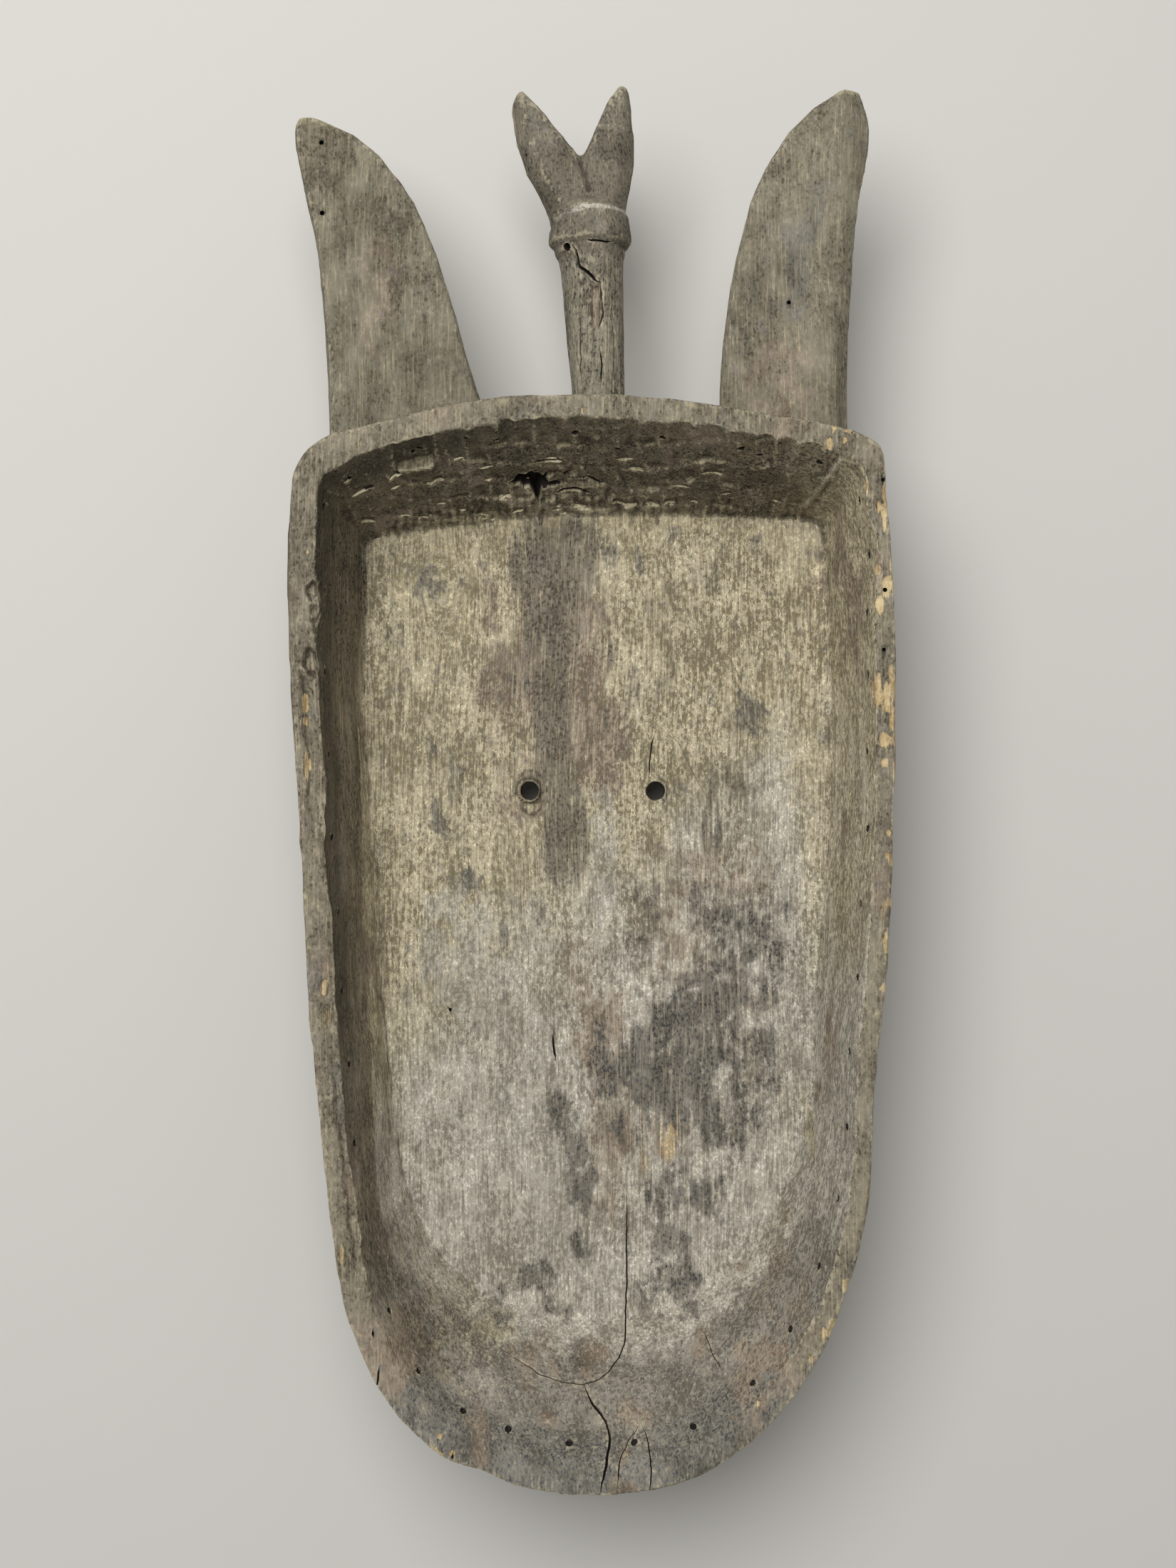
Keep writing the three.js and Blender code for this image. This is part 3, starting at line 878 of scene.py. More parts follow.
@dataclass
class Horns:
    """The two flat horns, pared lengthwise, with worn tips."""

    marks: Marks = Marks(0.55, 13.0, 44.0, 61)
    swell: Relief = Relief(0.5, (17.0, 24.0, 17.0), 62)
    grain: Relief = Relief(0.1, (2.8, 30.0, 2.8), 63, 2)

    def carve(self, skin: Skin) -> None:
        """Cuts the paring marks and waves the horns' edges.

        Args:
            skin: The carving's surface.
        """
        x, y = skin.points.T[:2]
        horn = skin.limb * smoothstep(np.abs(x), 50.0, 58.0)
        skin.gouge(self.marks, x, y, horn)
        skin.roughen(self.swell, horn)
        skin.roughen(self.grain, horn)


@dataclass
class Crest:
    """The stem, the collar and the two prongs, split and weathered by age."""

    grooves: Relief = Relief(0.7, (4.4, 60.0, 4.4), 71, 2)
    knocks: Relief = Relief(0.9, (13.0, 9.0, 13.0), 72, 2)
    marks: Marks = Marks(0.8, 11.0, 20.0, 73)
    wear: Relief = Relief(0.3, (9.0, 14.0, 9.0), 74, 2)
    panel_middle: tuple[float, float] = (3.0, 247.5)
    panel_half: tuple[float, float] = (2.6, 11.5)
    panel_depth: float = 1.4
    collar_end: float = 279.6
    undercut: float = 1.5
    collar_groove: float = 0.8
    fork_groove: float = 1.3
    fork_groove_ends: tuple[float, float, float, float] = (-5.2, 323.8, -1.0, 310.0)

    def carve(self, skin: Skin) -> None:
        """Roughens the stem along its grain, undercuts the collar and knocks it out of round.

        Args:
            skin: The carving's surface.
        """
        x, y = skin.points.T[:2]
        crest = skin.limb * smoothstep(np.abs(x + 8.0), 46.0, 38.0)
        stem = crest * smoothstep(y, 276.0, 270.0)
        collar = crest * smoothstep(np.abs(y - 290.0), 15.0, 8.0)
        skin.roughen(self.grooves, stem)
        skin.roughen(self.knocks, collar)
        ragged = noise(skin.points, (6.0, 6.0, 6.0), 75)
        skin.push(self.undercut * bell(y - self.collar_end + ragged, 3.6) * crest)
        skin.push(self.collar_groove * bell(self.above_collar(skin), 2.4) * crest)
        skin.gouge(self.marks, x, y, crest, smoothstep(y, 298.0, 308.0))
        skin.roughen(self.wear, crest)
        skin.push(self.panel_depth * self.panel(skin) * stem)
        fork = bell(distance_to_line(skin.points, *self.fork_groove_ends), 3.0)
        skin.push(self.fork_groove * fork * crest * (skin.normals[:, 2] > 0.4))

    def panel(self, skin: Skin) -> np.ndarray:
        """Where a flake has left a sunken panel in the stem, from 0 to 1.

        Args:
            skin: The carving's surface.

        Returns:
            The share at each point.
        """
        across = np.abs(skin.points[:, 0] - self.panel_middle[0]) / self.panel_half[0]
        down = np.abs(skin.points[:, 1] - self.panel_middle[1]) / self.panel_half[1]
        return smoothstep(np.maximum(across, down), 1.15, 0.8) * (skin.normals[:, 2] > 0.0)

    @staticmethod
    def above_collar(skin: Skin) -> np.ndarray:
        """How far each point lies from the groove above the collar, along the crest."""
        x, y = skin.points.T[:2]
        return y - (298.9 - 0.008 * np.minimum(x - 8.0, 0.0) ** 2)


@dataclass
class SightHoles:
    """The two sight holes: their worn edges, and the ring and the shallow oval below the left one."""

    left: tuple[float, float] = (-33.2, -6.4)
    right: tuple[float, float] = (35.6, -6.4)
    radius: float = 5.0
    wear_depth: float = 0.9
    wear_width: float = 5.0
    ring_depth: float = 1.0
    oval_depth: float = 1.6

    def carve(self, skin: Skin) -> None:
        """Dishes the wood around each hole and sinks the ring and the oval recess.

        Args:
            skin: The carving's surface.
        """
        x, y = skin.points.T[:2]
        for middle_x, middle_y in (self.left, self.right):
            away = np.hypot(x - middle_x, y - middle_y)
            worn = smoothstep(away, self.radius + self.wear_width, self.radius)
            skin.lower(self.wear_depth * worn * skin.floor)
        ring = np.hypot((x + 32.6) / 9.2, (y + 8.4) / 13.8)
        skin.lower(self.ring_depth * smoothstep(ring, 1.05, 0.93) * skin.floor)
        recess = np.maximum(np.abs(x + 32.4) / 6.0, np.hypot((x + 32.4) / 6.8, (y + 11.4) / 8.8))
        skin.lower(self.oval_depth * smoothstep(recess, 1.1, 0.88) * skin.floor)


@dataclass
class LacingHoles:
    """The small drilled holes under the rim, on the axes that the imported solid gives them."""

    radius: float = 1.9
    lowest: float = 108.0
    highest: float = 119.0
    overshoot: float = 9.0
    apart: float = 5.0

    def axes(self, rim: Rim) -> list[tuple[Vector, Vector]]:
        """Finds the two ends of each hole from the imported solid's own corners.

        Args:
            rim: The rim's outer edge.

        Returns:
            The inner and the outer end of each hole, in millimetres.
        """
        solid = np.unique(np.round(rim.solid, 2), axis=0)
        solid = solid[(solid[:, 2] > self.lowest) & (solid[:, 2] < self.highest)]
        along, inset = rim.measure(solid)[:2]
        kept = np.flatnonzero((inset > -1.0) & (inset < 45.0))
        order = kept[np.argsort(along[kept])]
        solid, along, inset = solid[order], along[order], inset[order]
        ends = []
        for group in np.split(np.arange(len(along)), np.flatnonzero(np.diff(along) > self.apart) + 1):
            middle = 0.5 * (inset[group].min() + inset[group].max())
            inner, outer = (solid[group[side]] for side in (inset[group] > middle, inset[group] <= middle))
            if len(inner) > 3 and len(outer) > 3:
                ends.append((Vector(inner.mean(0)), Vector(outer.mean(0))))
        return ends

    def cutter(self, rim: Rim) -> bmesh.types.BMesh:
        """One mesh with a drill through the wall for each hole.

        Args:
            rim: The rim's outer edge.

        Returns:
            The cutter's mesh.
        """
        form = bmesh.new()
        for inner, outer in self.axes(rim):
            along = (outer - inner).normalized()
            add_drill(form, inner - self.overshoot * along, outer + self.overshoot * along, self.radius)
        return form


def add_drill(form: bmesh.types.BMesh, start: Vector, end: Vector, radius: float) -> None:
    """Adds a round drill to a mesh.

    Args:
        form: The mesh that the drill joins.
        start: The middle of its first end, in millimetres.
        end: The middle of its other end, in millimetres.
        radius: Its radius in millimetres.
    """
    along = end - start
    turn = along.to_track_quat("Z", "Y").to_matrix().to_4x4()
    place = Matrix.Translation((start + end) * 0.5 * MM) @ turn
    sides = 10 if radius < 3.0 else 28
    drill = bmesh.ops.create_cone(form, cap_ends=True, segments=sides, radius1=radius * MM,
                                  radius2=radius * MM, depth=along.length * MM, matrix=place)["verts"]
    edges = {edge for corner in drill for edge in corner.link_edges}
    lengthwise = [edge for edge in edges if edge.calc_length() > 0.9 * along.length * MM]
    bmesh.ops.subdivide_edges(form, edges=lengthwise, cuts=max(1, int(along.length / 3.0)))


@dataclass(frozen=True)
class Crack:
    """A split in the wood: its path from above, its width, its depth and how far it strays, all in mm."""

    path: tuple[tuple[float, float], ...]
    width: float
    depth: float
    jag: float = 0.5


CRACKS = (
    Crack(((-55.7, -287.3), (-49.8, -301.2), (-37.2, -308.6), (-25.9, -315.0), (-14.6, -318.4),
           (-4.0, -319.4), (3.5, -317.7), (9.6, -314.3), (14.9, -308.4), (18.5, -300.8), (19.5, -273.1),
           (19.5, -234.7), (19.9, -211.6)), 0.9, 2.4, 0.35),
    Crack(((-4.0, -318.6), (0.5, -327.0), (7.8, -334.5), (10.3, -341.8), (7.7, -351.8), (4.4, -366.0)),
          1.5, 3.6),
    Crack(((26.2, -334.5), (19.5, -342.0), (15.0, -350.0), (13.4, -362.0)), 0.8, 1.8),
    Crack(((26.2, -334.5), (29.7, -342.8), (31.4, -353.8), (29.8, -366.0)), 0.8, 1.6),
    Crack(((59.5, -292.1), (64.3, -303.2), (70.8, -312.0)), 0.5, 0.8, 0.4),
    Crack(((-20.4, -138.0), (-20.0, -145.0), (-19.0, -153.0)), 1.3, 2.6, 0.3),
    Crack(((-108.0, -300.0), (-108.4, -306.0), (-109.6, -313.0)), 1.1, 2.5, 0.3),
    Crack(((-70.4, -343.0), (-70.8, -349.0)), 1.4, 2.5, 0.2),
    Crack(((-111.2, -281.0), (-111.0, -286.0)), 1.7, 3.0, 0.2),
    Crack(((31.6, -1.0), (32.2, 8.0), (33.2, 19.0), (35.4, 25.5)), 0.9, 1.0, 0.25),
    Crack(((35.4, 25.5), (38.2, 27.3), (42.2, 24.2), (47.1, 21.0), (50.6, 15.0), (54.8, 5.1), (60.5, -5.0),
           (65.0, -12.0)), 0.4, 0.3, 0.25),
    Crack(((-27.0, 160.6), (-20.0, 163.2), (-10.5, 164.2)), 6.5, 8.0, 0.5),
    Crack(((-25.5, 157.4), (-20.5, 158.4), (-16.0, 159.4)), 6.0, 7.0, 0.5),
    Crack(((-20.0, 154.6), (-9.0, 156.4), (2.0, 154.0)), 3.4, 5.0, 0.6),
    Crack(((-13.0, 161.2), (-2.0, 161.4), (8.0, 158.6)), 3.0, 4.4, 0.6),
    Crack(((-33.0, 166.0), (-22.0, 167.6), (-10.0, 167.2)), 3.0, 4.0, 0.5),
    Crack(((-9.8, 279.0), (-7.6, 276.3), (-6.4, 267.8), (-2.2, 265.3), (2.7, 259.9), (5.2, 259.4)),
          1.9, 4.5, 0.6),
    Crack(((5.2, 259.2), (5.9, 242.2), (4.0, 234.9)), 1.5, 4.0, 0.4),
    Crack(((4.6, 225.0), (5.8, 216.6), (5.2, 206.0)), 0.9, 2.6, 0.5),
    Crack(((10.6, 264.0), (12.0, 229.0), (12.5, 202.0)), 0.9, 2.4, 0.5),
    Crack(((-11.9, 235.0), (-11.0, 229.0), (-10.0, 222.0)), 1.1, 2.6, 0.4),
    Crack(((-5.6, 246.0), (-5.4, 222.0), (-5.0, 204.0)), 0.7, 1.8, 0.5),
    Crack(((-3.0, 281.0), (4.0, 280.2), (12.0, 280.6)), 1.2, 2.2, 0.5),
)


@dataclass(frozen=True)
class TornKnot:
    """The ragged hole where a knot has rotted out of the upper wall.

    Its outline is given from above and its depth into the wall in millimetres; narrowing is the share of the
    outline that is left at its far end.
    """

    outline: tuple[tuple[float, float], ...] = (
        (-44.8, 157.9), (-40.5, 156.9), (-37.6, 157.7), (-35.6, 155.8), (-32.4, 156.6), (-30.8, 154.6),
        (-29.8, 151.6), (-28.2, 149.6), (-26.8, 152.8), (-26.4, 156.0), (-23.4, 157.0), (-22.6, 159.6),
        (-24.6, 161.6), (-27.4, 163.0), (-31.6, 163.2), (-34.4, 161.9), (-38.2, 162.3), (-40.8, 159.6))
    depth: float = 10.0
    narrowing: float = 0.75


@dataclass(frozen=True)
class Borer:
    """A hole left by a wood borer or a nail: its place from above in millimetres and its radius."""

    x: float
    y: float
    radius: float
    depth: float = 9.0


BORERS = tuple(Borer(*row) for row in (
    (-140.7, 332.5, 1.3), (-140.2, 295.4, 1.3), (103.4, 248.5, 1.1), (-34, 329.1, 0.9, 5),
    (-92, 169.6, 1.3), (-12.5, 278.1, 2.2, 7), (-40.6, 327.5, 1.5, 6), (14, 172, 1.6),
    (-76.3, -125.3, 0.9, 4), (149.4, 152.5, 1.2, 5), (150.4, 96.5, 1.2, 5), (149.6, 66, 1, 5),
    (-64, 175, 1.1), (88, 168, 1.2),
))


@dataclass(frozen=True)
class Ledge:
    """A step where a stroke of the adze stopped: the middle of its lip from above and its half length."""

    x: float
    y: float
    half_length: float
    depth: float = 1.4

    def distance(self, points: np.ndarray, share: float) -> np.ndarray:
        """How far each point lies from the middle share of the lip, seen from above, in millimetres."""
        reach = share * self.half_length
        return distance_to_line(points, self.x - reach, self.y, self.x + reach, self.y)


LEDGES = tuple(Ledge(*row) for row in (
    (-126, 153.3, 3), (-120.2, 150, 7.6, 1.7), (-103.2, 157.4, 4.2, 1.3), (-103.4, 152.6, 4.6, 1.5),
    (-82.1, 156.9, 4.6), (-79.8, 147.8, 3.2, 1.1), (-55.3, 163.4, 4.8), (-54, 158.2, 6.1, 1.7),
    (-46.6, 151.8, 3.6, 1.3), (-118, 138.6, 5.4, 1.5), (-100.6, 142.2, 3.6, 1.2), (-89, 141.6, 4.4, 1.3),
    (-69.4, 145.4, 4.2, 1.3), (-57, 143.6, 4.6, 1.4), (-68, 167.2, 3.4, 1.1), (-40.4, 145.4, 4.2, 1.2),
    (-18, 146.6, 3.4, 1.2), (-5.3, 148.4, 4, 1.3), (17.6, 149.2, 5.8, 1.5), (17.3, 167.5, 7.5, 1.9),
    (24.6, 163.6, 4.6, 1.3), (-19.4, 168.4, 3.9, 1.2), (43.7, 149.9, 3.9, 1.4), (33.6, 149.6, 3, 1.2),
    (55.4, 150.2, 2.6, 1.1), (48, 156.4, 4.6, 1.2), (72.4, 152.8, 4, 1.1), (99.8, 149.4, 3, 1.1),
    (64, 161.6, 5.4, 1.1),
))


def sweep(form: bmesh.types.BMesh, sections: list[list[Vector]]) -> None:
    """Adds a closed bar to a mesh.

    Args:
        form: The mesh that the bar joins.
        sections: The corners of its cross-sections in millimetres, equally many in each, from end to end.
    """
    section = form.faces.new([form.verts.new(corner * MM) for corner in sections[0]])
    for index, corners in enumerate(sections[1:]):
        grown = bmesh.ops.extrude_face_region(form, geom=[section])["geom"]
        if index:
            bmesh.ops.delete(form, geom=[section], context="FACES_ONLY")
        section = next(part for part in grown if isinstance(part, bmesh.types.BMFace))
        for vertex, corner in zip(section.verts, corners):
            vertex.co = corner * MM


class Piercings:
    """Cuts every hole, step and split into the carved piece."""

    proud: float = 0.7
    lip_reach: float = 2.2

    def __init__(self, piece: bpy.types.Object, rim: Rim) -> None:
        """Takes the piece that is pierced and the rim that its lacing holes follow.

        Args:
            piece: The piece that is pierced.
            rim: The rim's outer edge.
        """
        self.piece = piece
        self.rim = rim
        self.tree = BVHTree.FromObject(piece, bpy.context.evaluated_depsgraph_get())

    def surface_at(self, x: float, y: float) -> tuple[Vector, Vector]:
        """Finds the surface under a place.

        Args:
            x: The place across the mask, in millimetres.
            y: The place along the mask, in millimetres.

        Returns:
            The piece's highest point there, in millimetres, and its normal. Off the piece it is the place
            itself at the height of the nearest point, with a normal that points up.
        """
        place, normal = self.tree.ray_cast(Vector((x * MM, y * MM, 0.5)), Vector((0, 0, -1)))[:2]
        if place is None:
            place = self.tree.find_nearest(Vector((x, y, self.rim.height - 2.0)) * MM)[0]
            return Vector((x, y, place.z / MM)), Vector((0.0, 0.0, 1.0))
        return place / MM, normal

    def route(self, crack: Crack, step: float = 1.6) -> list[tuple[float, float]]:
        """A crack's path in short steps, jagged to either side.

        Args:
            crack: The crack.
            step: The length of one step, in millimetres.

        Returns:
            The places along it from above, in millimetres.
        """
        corners = np.array(crack.path)
        lengths = np.concatenate([[0.0], np.cumsum(np.linalg.norm(np.diff(corners, axis=0), axis=1))])
        along = np.linspace(0.0, lengths[-1], max(3, int(lengths[-1] / step)))
        path = np.stack([np.interp(along, lengths, corners[:, axis]) for axis in (0, 1)], axis=1)
        spots = np.column_stack([path, np.zeros(len(path))])
        for axis in (0, 1):
            path[:, axis] += crack.jag * noise(spots, (4.0, 4.0, 4.0), 81 + axis, 2)
        return [tuple(point) for point in path]

    def wedge(self, crack: Crack) -> bmesh.types.BMesh:
        """A thin wedge along a crack, fine at both ends, that stands just out of the surface.

        Args:
            crack: The crack.

        Returns:
            The cutter's mesh.
        """
        route = self.route(crack)
        spots = [self.surface_at(x, y) for x, y in route]
        sections = []
        for index in range(len(route)):
            before, after = route[max(index - 1, 0)], route[min(index + 1, len(route) - 1)]
            ahead = Vector((after[0] - before[0], after[1] - before[1], 0.0)).normalized()
            place = spots[index][0]
            nearby = spots[max(index - 3, 0) : index + 4]
            normal = sum((spot[1] for spot in nearby), Vector()).normalized()
            side = ahead.cross(normal).normalized()
            taper = min(1.0, 0.15 + 4.0 * min(index, len(route) - 1 - index) / len(route))
            half = 0.5 * crack.width * taper * (1.0 + self.proud / crack.depth)
            above = place + normal * self.proud
            sections.append([above + side * half, above - side * half, place - normal * crack.depth * taper])
        form = bmesh.new()
        sweep(form, sections)
        return form

    def torn_hole(self, knot: TornKnot) -> bmesh.types.BMesh:
        """A cutter with the knot's ragged outline that narrows as it goes into the wall.

        Args:
            knot: The knot's outline and depth.

        Returns:
            The cutter's mesh.
        """
        corners = [self.surface_at(x, y)[0] for x, y in knot.outline]
        middle = sum(corners, Vector()) / len(corners)
        across = self.surface_at(middle.x + 16.0, middle.y)[0] - self.surface_at(middle.x - 16.0, middle.y)[0]
        up = self.surface_at(middle.x, middle.y + 8.0)[0] - self.surface_at(middle.x, middle.y - 8.0)[0]
        normal = across.cross(up).normalized()
        outer = [middle + 1.06 * (corner - middle) + 1.2 * normal for corner in corners]
        inner = [middle + knot.narrowing * (corner - middle) - knot.depth * normal for corner in corners]
        form = bmesh.new()
        sweep(form, [outer, inner])
        bmesh.ops.triangulate(form, faces=form.faces, quad_method="BEAUTY", ngon_method="EAR_CLIP")
        return form

    def notches(self) -> bmesh.types.BMesh:
        """One mesh with a cutter for each ledge: a flat sill under a steep back, deepest in its middle."""
        form = bmesh.new()
        for ledge in LEDGES:
            place, normal = self.surface_at(ledge.x, ledge.y)
            into = Vector((-normal.x, -normal.y, 0.0)).normalized()
            side = Vector((into.y, -into.x, 0.0))
            sections = []
            for step in np.linspace(-1.0, 1.0, 9):
                lip = place + side * float(step * ledge.half_length)
                lip += Vector((0.0, 0.0, 0.9 * float(step**2)))
                sill = 0.9 * ledge.depth * float(1.0 - step**2) - 0.2
                rise = Vector((0.0, 0.0, 3.9 * ledge.depth))
                front = lip - into * self.lip_reach
                back = lip + into * (sill + 0.8 * ledge.depth)
                sections.append([front, lip + into * sill, back + rise, front + rise])
            sweep(form, sections)
        return form

    def cut(self, form: bmesh.types.BMesh) -> None:
        """Takes one cutter away from the piece.

        Args:
            form: The cutter's mesh, which is freed.
        """
        bmesh.ops.recalc_face_normals(form, faces=form.faces)
        mesh = bpy.data.meshes.new("cutter")
        form.to_mesh(mesh)
        form.free()
        cutter = put_in_scene("cutter", mesh)
        bpy.context.view_layer.update()
        before = len(self.piece.data.polygons)
        apply_modifier(self.piece, "BOOLEAN", operation="DIFFERENCE", solver="MANIFOLD", object=cutter)
        log.info("cut %d faces into %d", len(mesh.polygons), len(self.piece.data.polygons) - before)
        bpy.data.objects.remove(cutter)
        bpy.data.meshes.remove(mesh)

    def cut_all(self) -> None:
        """Cuts the lacing holes, the sight and borers' holes, the ledges, the knot's hole and the cracks."""
        holes = bmesh.new()
        for x, y in (SightHoles.left, SightHoles.right):
            add_drill(holes, Vector((x, y, 70.0)), Vector((x, y, 15.0)), SightHoles.radius)
        for borer in BORERS:
            place, normal = self.surface_at(borer.x, borer.y)
            add_drill(holes, place + normal * 3.0, place - normal * borer.depth, borer.radius)
        forms = [LacingHoles().cutter(self.rim), holes, self.notches(), self.torn_hole(TornKnot())]
        forms += [self.wedge(crack) for crack in CRACKS]
        for form in forms:
            self.cut(form)


class Tone(Enum):
    """The stains and the kinds of wear that colour the wood."""

    BROWN = "brown"
    VIOLET = "violet"
    UMBER = "umber"
    TAN = "tan"
    BLEACHED = "bleached"
    SLATE = "slate"
    RAW = "raw"


@dataclass(frozen=True)
class Stain:
    """One patch of a stain: its middle and its half sizes from above, in millimetres, and its strength."""

    x: float
    y: float
    half_width: float
    half_length: float
    strength: float = 1.0


STAINS = {tone: tuple(Stain(*row) for row in rows) for tone, rows in {
    Tone.BROWN: (
        (-19, 120, 24, 27, 0.9), (-20, 124, 21, 22), (-24, 80, 17, 26, 0.75), (3, 68, 10, 12, 0.5),
        (-48, 62, 12, 14, 0.45), (-22, 26, 11, 36), (-14, -33, 12, 27, 0.9), (7, 33, 8, 7, 0.55),
        (25, 46, 8, 11, 0.5), (42, 50, 9, 13, 0.45), (66, 112, 9, 9, 0.5), (72, -6, 18, 12, 0.55),
        (52, -8, 7, 11, 0.5), (64, -30, 8, 9, 0.7), (-17, -6, 9, 22, 0.9),
    ),
    Tone.UMBER: (
        (-16, 64, 26, 62, 0.75), (-50, 50, 13, 28, 0.6), (9, 20, 13, 30, 0.8), (-36, -8, 16, 16, 0.6),
        (46, -84, 22, 34, 0.55), (72, -124, 26, 30, 0.6), (34, -176, 26, 34, 0.6), (-5, 22, 6, 28, 0.9),
        (72, -52, 34, 26, 0.55), (-52, 94, 9, 18, 0.5), (9, -62, 6, 34, 0.5), (-6, -104, 16, 24, 0.45),
        (6, -142, 16, 26, 0.85), (12, -186, 15, 22, 0.7), (8, -226, 14, 20, 0.45), (64, -126, 5, 9, 0.6),
        (-52, -208, 9, 8, 0.45), (100, -278, 16, 22, 0.4), (34, -64, 16, 34, 0.4),
        (-108, -296, 16, 24, 0.7), (-28, -308, 16, 10, 0.5), (128, 110, 7, 11, 0.8),
        (101, 205, 22, 30, 0.5), (-112, 250, 12, 40, 0.4),
    ),
    Tone.VIOLET: (
        (30, -72, 14, 24, 0.35), (62, -70, 10, 14, 0.5), (84, -96, 24, 34, 0.6), (104, -64, 8, 18, 0.5),
        (60, -116, 12, 12, 0.95), (72, -130, 11, 11, 0.8), (37, -116, 6, 6, 0.7), (36, -137, 14, 12, 0.9),
        (58, -148, 12, 10, 0.9), (44, -168, 25, 17, 1.1), (58, -184, 20, 10, 0.9),
        (88, -152, 18, 26, 0.55), (80, -190, 16, 16, 0.55), (28, -196, 7, 7, 0.75),
        (43, -224, 15, 10, 0.95), (64, -226, 10, 12, 0.6), (43, -250, 12, 12, 0.6),
        (50, -274, 10, 16, 0.7), (32, -278, 8, 14, 0.35), (4, -136, 5, 6, 0.7), (8, -152, 8, 7, 0.8),
        (8, -167, 7, 8, 0.8), (15, -190, 5, 7, 0.6), (-20, -174, 7, 9, 0.62), (-14, -188, 9, 12, 0.62),
        (-9, -203, 9, 12, 0.68), (-6, -220, 8, 14, 0.72), (-5, -236, 7, 11, 0.68), (-6, -250, 7, 10, 0.55),
        (-30, -271, 12, 11, 0.6), (-50, -284, 8, 12, 0.6), (-14, -288, 13, 7, 0.55),
        (-14, -307, 8, 5, 0.5), (25, -154, 12, 13, 0.9), (47, -128, 13, 13, 0.9),
    ),
    Tone.BLEACHED: (
        (0, -258, 12, 24, 0.6), (6.5, -50, 8, 40, 0.75), (-30, -86, 14, 26, 0.55),
        (-74, -92, 22, 38, 0.65), (-54, -118, 24, 24, 0.9), (-30, -146, 14, 18, 0.8),
        (-70, -176, 28, 30, 0.65), (-40, -196, 26, 30, 0.7), (-25, -238, 20, 28, 0.85),
        (-70, -240, 22, 36, 0.5), (7, -272, 13, 20), (97, -154, 5, 28, 0.6), (84, -236, 16, 24, 0.45),
        (-1, 108, 5, 5, 0.7),
    ),
    Tone.TAN: (
        (-80, 98, 20, 36, 0.8), (-103, 104, 4, 22, 0.8), (-52, 128, 9, 16, 0.7), (-70, 50, 30, 22, 0.35),
        (26, 130, 16, 15, 0.75), (16, 96, 18, 24, 0.45), (112, 120, 13, 24, 0.55), (97.5, 48, 3, 17, 0.9),
        (112, 20, 12, 50, 0.45), (36, -30, 4, 12, 0.8), (-50, -292, 10, 6, 0.7), (-103, -20, 5, 60, 0.4),
        (118, -186, 2.4, 20, 0.9),
    ),
    Tone.RAW: (
        (44.4, -196, 3.6, 9, 1.4), (28.5, -207, 2.4, 3.6, 1.4),
    ),
    Tone.SLATE: (
        (-72, 2, 4, 4), (-82, -22, 5, 11, 0.9), (-88, 13, 3, 3.5, 0.8), (-24, -76, 6, 3),
        (-48, -87, 4, 9, 0.8), (-67, -55, 10, 5, 0.7), (66, -27, 7, 7, 0.9), (90, 130, 3.5, 7, 0.9),
        (14, 128, 7, 7, 0.7), (29, 115, 3, 8, 0.8), (88, 34, 10, 12, 0.6), (94, -92, 6, 8, 0.8),
        (-88, 104, 9, 16, 0.5), (-108, 78, 5, 8, 0.6), (108, 272, 8, 24, 1), (118, 300, 6, 12, 0.6),
    ),
}.items()}


